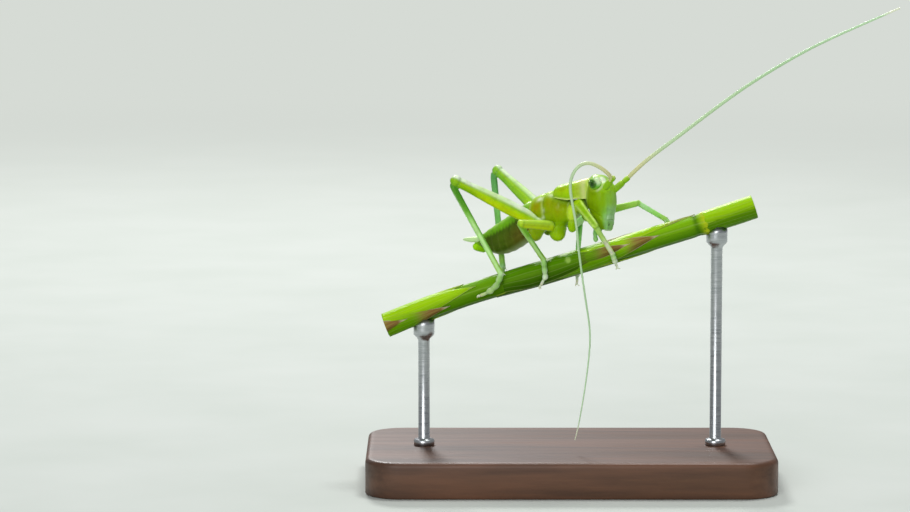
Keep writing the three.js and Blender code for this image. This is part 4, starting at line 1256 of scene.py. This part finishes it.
# The first joint is kept faint, as it lies in the insect's painted shadow.
JOINTS = ((10.9, 0.3), (28.0, 1.0))  # distance along the stem, and how strongly the joint shows


def on_stem(at, turn, radius):
    """Points on the stem: distance along it, turn from the front over the top, and radius."""
    centre, rise = (np.stack([np.interp(at, stem_at, column) for column in rows.T], -1)
                    for rows in (stem_line, stem_up))
    return centre + radius[..., None] * (np.cos(turn)[..., None] * FRONT + np.sin(turn)[..., None] * rise)


at = np.pad(np.linspace(0, STEM_LONG, 420), 1, "edge")[:, None]
turn = full_turn(72)[None]
edge = np.minimum(at, STEM_LONG - at)
ring_at = sum(strength * bell(at, joint, 0.34) for joint, strength in JOINTS)
nick_at = sum(strength * bell(at, joint - 0.75, 0.22) for joint, strength in JOINTS)
radius = STEM_RADIUS + 0.07 * ring_at - 0.04 * nick_at + 0.012 * np.cos(9 * turn)
radius = radius - 0.03 * bell(edge, 0, 0.05)
# Painted light and shade: the stem is darker beneath and lighter over its top, and lighter again on top from
# 17 mm on, where it leaves the insect's painted shadow.
tint = painted(
    "3E7402",
    ("6FA808", 0.5 + 0.5 * np.sin(turn)),
    ("86BE0C", 0.8 * step(at, 17, 20) * step(np.sin(turn), -0.6, 0.8)),
    ("C2D220", 0.8 * ring_at),
    ("3A6E04", 0.75 * nick_at),
    ("DDE3A6", step(-edge, -0.12, 0.0)))
veins = np.stack(np.broadcast_arrays(turn / np.pi, at), -1)
radius[[0, -1]] *= 0.94  # a plain ring inside each cut end keeps the veins off the cut
veins[[0, -1]] = 0
tint[[0, -1]] = linear("D8DFA4")
rings = on_stem(at, turn, radius)
veins = with_ends(rings, veins)
corners, faces = closed_stack(rings)
faces = [face[::-1] for face in faces]  # the turn runs the other way round on the stem
kept("spike_stem", make_mesh("spike_stem", corners, faces, spike_skin), ["perch_spike"], "spike",
     tint=with_ends(rings, tint), across=veins[:, 0], along=veins[:, 1])

# Brightness is painted light: low for scales in the insect's painted shadow and on the back and underside of
# the stem.
SCALES = [  # (base, tip, turn in degrees, half spread in degrees, redness of the tip, lift, brightness)
    (-6.0, 2.6, 250, 95, 0.5, 0.0, 0.5), (-4.5, 3.6, 120, 95, 0.3, 0.01, 0.8),
    (-5.0, 2.0, 0, 80, 1.2, 0.13, 0.75), (-3.0, 5.7, -16, 82, 1.3, 0.085, 0.85),
    (-1.0, 7.3, 78, 80, 0.1, 0.035, 0.95), (0.6, 8.24, 36, 78, 0.0, 0.05, 1.0),
    (1.0, 9.6, 200, 110, 0.6, 0.03, 0.5), (8.9, 17.4, 165, 100, 0.8, 0.0, 0.3),
    (9.6, 19.6, 250, 100, 0.7, 0.015, 0.1), (10.4, 20.2, 20, 100, 0.3, 0.06, 0.08),
    (11.8, 22.0, 100, 84, 0.6, 0.05, 0.30), (17.2, 21.5, 18, 40, 1.3, 0.09, 0.3),
    (13.6, 24.1, 16, 105, 1.0, 0.025, 1.0), (15.0, 26.4, 215, 105, 0.4, 0.03, 0.5),
    (19.5, 27.4, 84, 60, 0.35, 0.0, 0.9), (27.8, 37.0, 335, 70, 0.4, 0.01, 0.5),
    (28.0, 39.0, 60, 95, 0.3, 0.03, 0.9), (28.2, 38.0, 190, 105, 0.3, 0.02, 0.4)]
SPOTTED, SPOT_AT = 20, (16.2, 0.55)  # turn of the scale with a pale round spot, and the spot's place
solids, tints, veins = [], [], []
for base, tip, turn_deg, spread_deg, redness, lift, bright in SCALES:
    long = tip - base
    shown_from, shown_to = max(base, 0.03), min(tip, STEM_LONG - 0.03)
    at = shown_from + (shown_to - shown_from) * np.linspace(0, 1, 76)[:, None] ** 0.9
    v = np.linspace(-1, 1, 33)[None]
    from_tip = tip - at
    spread_at = np.radians(spread_deg) * (1 - np.exp(-(from_tip / min(4.6, 0.5 * long)) ** 1.35))
    spread_at = np.maximum(spread_at * (1 - 0.35 * step(-at, -base - 2.5, -base)), 0.012)
    turn_at = math.radians(turn_deg) + v * spread_at
    belly = np.sin(np.pi * np.clip((at - base) / long, 0, 1)) ** 0.7
    keel = 0.025 * bell(v, 0, 0.10) * step(-from_tip, -4.0, -0.4)
    outer_radius = STEM_RADIUS + 0.035 + lift + (0.075 * belly + keel) * (1 - np.abs(v) ** 3)
    outer_radius = outer_radius + 0.035 * np.exp(-from_tip / 0.35) + 0.006 * np.cos(v * 34)
    inner_radius = outer_radius - 0.03 - 0.03 * (1 - v ** 2) - lift * 0.5
    solids.append(shell(on_stem(at, turn_at, outer_radius), on_stem(at, turn_at, inner_radius)))
    red = min(redness, 1)
    papery_edge = 0.8 * step(np.abs(v), 0.84, 0.97) * step(-from_tip, -3.2, -1.5)
    papery = np.maximum(step(-from_tip, -0.9, -0.2), papery_edge)
    spot_gap = np.sqrt((at - SPOT_AT[0]) ** 2 + ((turn_at - SPOT_AT[1]) * STEM_RADIUS) ** 2)
    # Painted light and shade: each scale is darker beneath and lighter over the top, and its lit colour is
    # laid on by its brightness.
    tint = painted(
        mixed("2C5801", "529002", step(np.sin(turn_at), -0.5, 0.9)),
        (mixed("66A002", "A6DA0C", step(np.sin(turn_at), -0.4, 0.7)), bright),
        ("C4DC4A", 0.5 * step(np.abs(v), 0.90, 0.98) * step(from_tip, 0.5, 2.0)),
        ("A08A4E", 0.8 * red * step(-from_tip, -3.5, -1.8) * step(from_tip, 0.05, 0.3)),
        ("8A4A36", 0.85 * red * step(-from_tip, -3.2, -1.4) * step(from_tip, 0.3, 0.9)
         * (0.45 + 0.55 * np.sin(5 * v + from_tip * 1.7) ** 2)),
        # Painted shade: the lower side of a reddened tip darkens to brown.
        ("54480E", 0.7 * red * step(-from_tip, -3.3, -2.0) * step(from_tip, 0.4, 1.2) * step(-v, 0.1, 0.5)),
        ("E6D6BE", (0.3 + 0.6 * red) * papery),
        ("A4CE5C", 0.9 * step(-spot_gap, -0.30, -0.16) if turn_deg == SPOTTED else 0))
    tints += [tint.reshape(-1, 3)] * 2
    veins += [np.stack(np.broadcast_arrays(v, at), -1).reshape(-1, 2)] * 2
across, along = np.vstack(veins).T
kept("spike_scales", make_mesh("spike_scales", *merged(solids), spike_skin), [], "spike",
     tint=np.vstack(tints), across=across, along=along)


# ---------------------------------------------------------------- stand base
# A small plinth of dark oiled hardwood with rounded corners. Its top edge is eased, and a small
# bevel runs round its foot.
wood, tree, shader, place = new_material("oiled_wood", 0.45)
along_grain = add(tree, "ShaderNodeMapping", {"Vector": place, "Scale": (90.0, 1100.0, 1100.0)})
fibre = noise(tree, along_grain.outputs[0], 1.0, 6.0, Roughness=0.62)
growth_map = add(tree, "ShaderNodeMapping", {"Vector": place, "Scale": (22.0, 260.0, 260.0)})
growth = noise(tree, growth_map.outputs[0], 1.0, 2.0, Distortion=0.6)
deep = ramp(tree, growth, (0.3, "4A3020"), (0.5, "6B4630"), (0.7, "54361F"))
fill(tree, shader, {
    "Base Color": blended(tree, deep, ramp(tree, fibre, (0.35, 0.62), (0.62, 1.0))),
    "Roughness": ramp(tree, fibre, (0.3, 0.55), (0.7, 0.38)),
    "Normal": bump(tree, fibre, 0.35, 0.00005)})

low, high = np.array(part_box("stand_base")) / MM
CORNER, EASED, TOE = 3.0, 0.4, 0.14  # round of the corners, of the top edge, and height of the foot's bevel
half, heart = (high - low)[:2] / 2, (high + low)[:2] / 2


def plinth_ring(inset, height):
    """The plinth's outline, drawn in by an inset, at a height."""
    r = CORNER - inset
    points = []
    for quarter, signs in enumerate(((1, 1), (-1, 1), (-1, -1), (1, -1))):
        hub = heart + (half - CORNER) * signs
        angle = np.linspace(0, np.pi / 2, 14) + quarter * np.pi / 2
        x, y = hub[0] + r * np.cos(angle), hub[1] + r * np.sin(angle)
        points.append(np.stack([x, y, 0 * angle + height], 1))
    return np.vstack(points)


profile = [(0.5, 0.0), (0.12, 0.0), (0.04, 0.04), (0.0, TOE), (0.0, high[2] - EASED - 0.3)]
profile += [(EASED * (1 - math.cos(a)), high[2] - EASED * (1 - math.sin(a)))
            for a in np.linspace(0, np.pi / 2, 7)]
profile += [(EASED + 0.25, high[2]), (CORNER - 0.05, high[2])]
rings = np.stack([plinth_ring(inset, height) for inset, height in profile])
kept("plinth", make_mesh("plinth", *closed_stack(rings), wood), ["stand_base"], "stand_base")


# ---------------------------------------------------------------- stand rods
# Two brushed steel rods, each pressed into a turned collar on the plinth and topped by a short
# saddle that is hollowed to the round of the spike.
steel, tree, shader, place = new_material("brushed_steel", 0.32)
turned_map = add(tree, "ShaderNodeMapping", {"Vector": place, "Scale": (700.0, 700.0, 9000.0)})
brushing = noise(tree, turned_map.outputs[0], 1.0, 4.0)
fill(tree, shader, {
    "Base Color": ramp(tree, brushing, (0.3, "A9ADB0"), (0.7, "C6C9CB")), "Metallic": 1.0,
    "Roughness": ramp(tree, brushing, (0.3, 0.24), (0.7, 0.42)),
    "Normal": bump(tree, brushing, 0.2, 0.00001)})

ROD, COLLAR, SADDLE = 0.48, 0.86, 0.88  # radii
CRADLE = STEM_RADIUS + 0.13  # radius of the hollow in the saddle
RIM_ROWS = 5  # the last rows of the profile close the top of the saddle
turn = full_turn(48)
for end in ("low", "high"):
    low, high = np.array(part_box("stand_rod_" + end)) / MM
    foot, top = low[2], high[2]
    profile = [(COLLAR - 0.06, foot), (COLLAR, foot + 0.06), (COLLAR, foot + 0.42),
               (COLLAR - 0.07, foot + 0.5), (ROD + 0.05, foot + 0.55), (ROD, foot + 0.62),
               (ROD, top - 1.85), (ROD + 0.02, top - 1.72),
               (SADDLE - 0.1, top - 1.42), (SADDLE, top - 1.3), (SADDLE, top - 0.9), (SADDLE, top - 0.5),
               (SADDLE, top), (SADDLE * 0.75, top), (SADDLE * 0.5, top), (SADDLE * 0.25, top), (0.02, top)]
    axis_x, axis_y = (low + high)[:2] / 2
    rings = np.stack([np.stack([axis_x + r * np.cos(turn), axis_y + r * np.sin(turn), 0 * turn + height], 1)
                      for r, height in profile])
    stem_z = np.interp(rings[..., 0], stem_line[:, 0], stem_line[:, 2])
    cradle = stem_z - np.sqrt(np.clip(CRADLE ** 2 - rings[..., 1] ** 2, 0.04, 9)) * 1.05
    below_rim = np.maximum(len(rings) - RIM_ROWS - np.arange(len(rings)), 0)[:, None]
    rings[..., 2] = np.minimum(rings[..., 2], cradle - 0.03 * below_rim)
    rod = make_mesh("rod_" + end, *closed_stack(rings), steel)
    kept("rod_" + end, rod, ["stand_rod_" + end], "stand_rod")
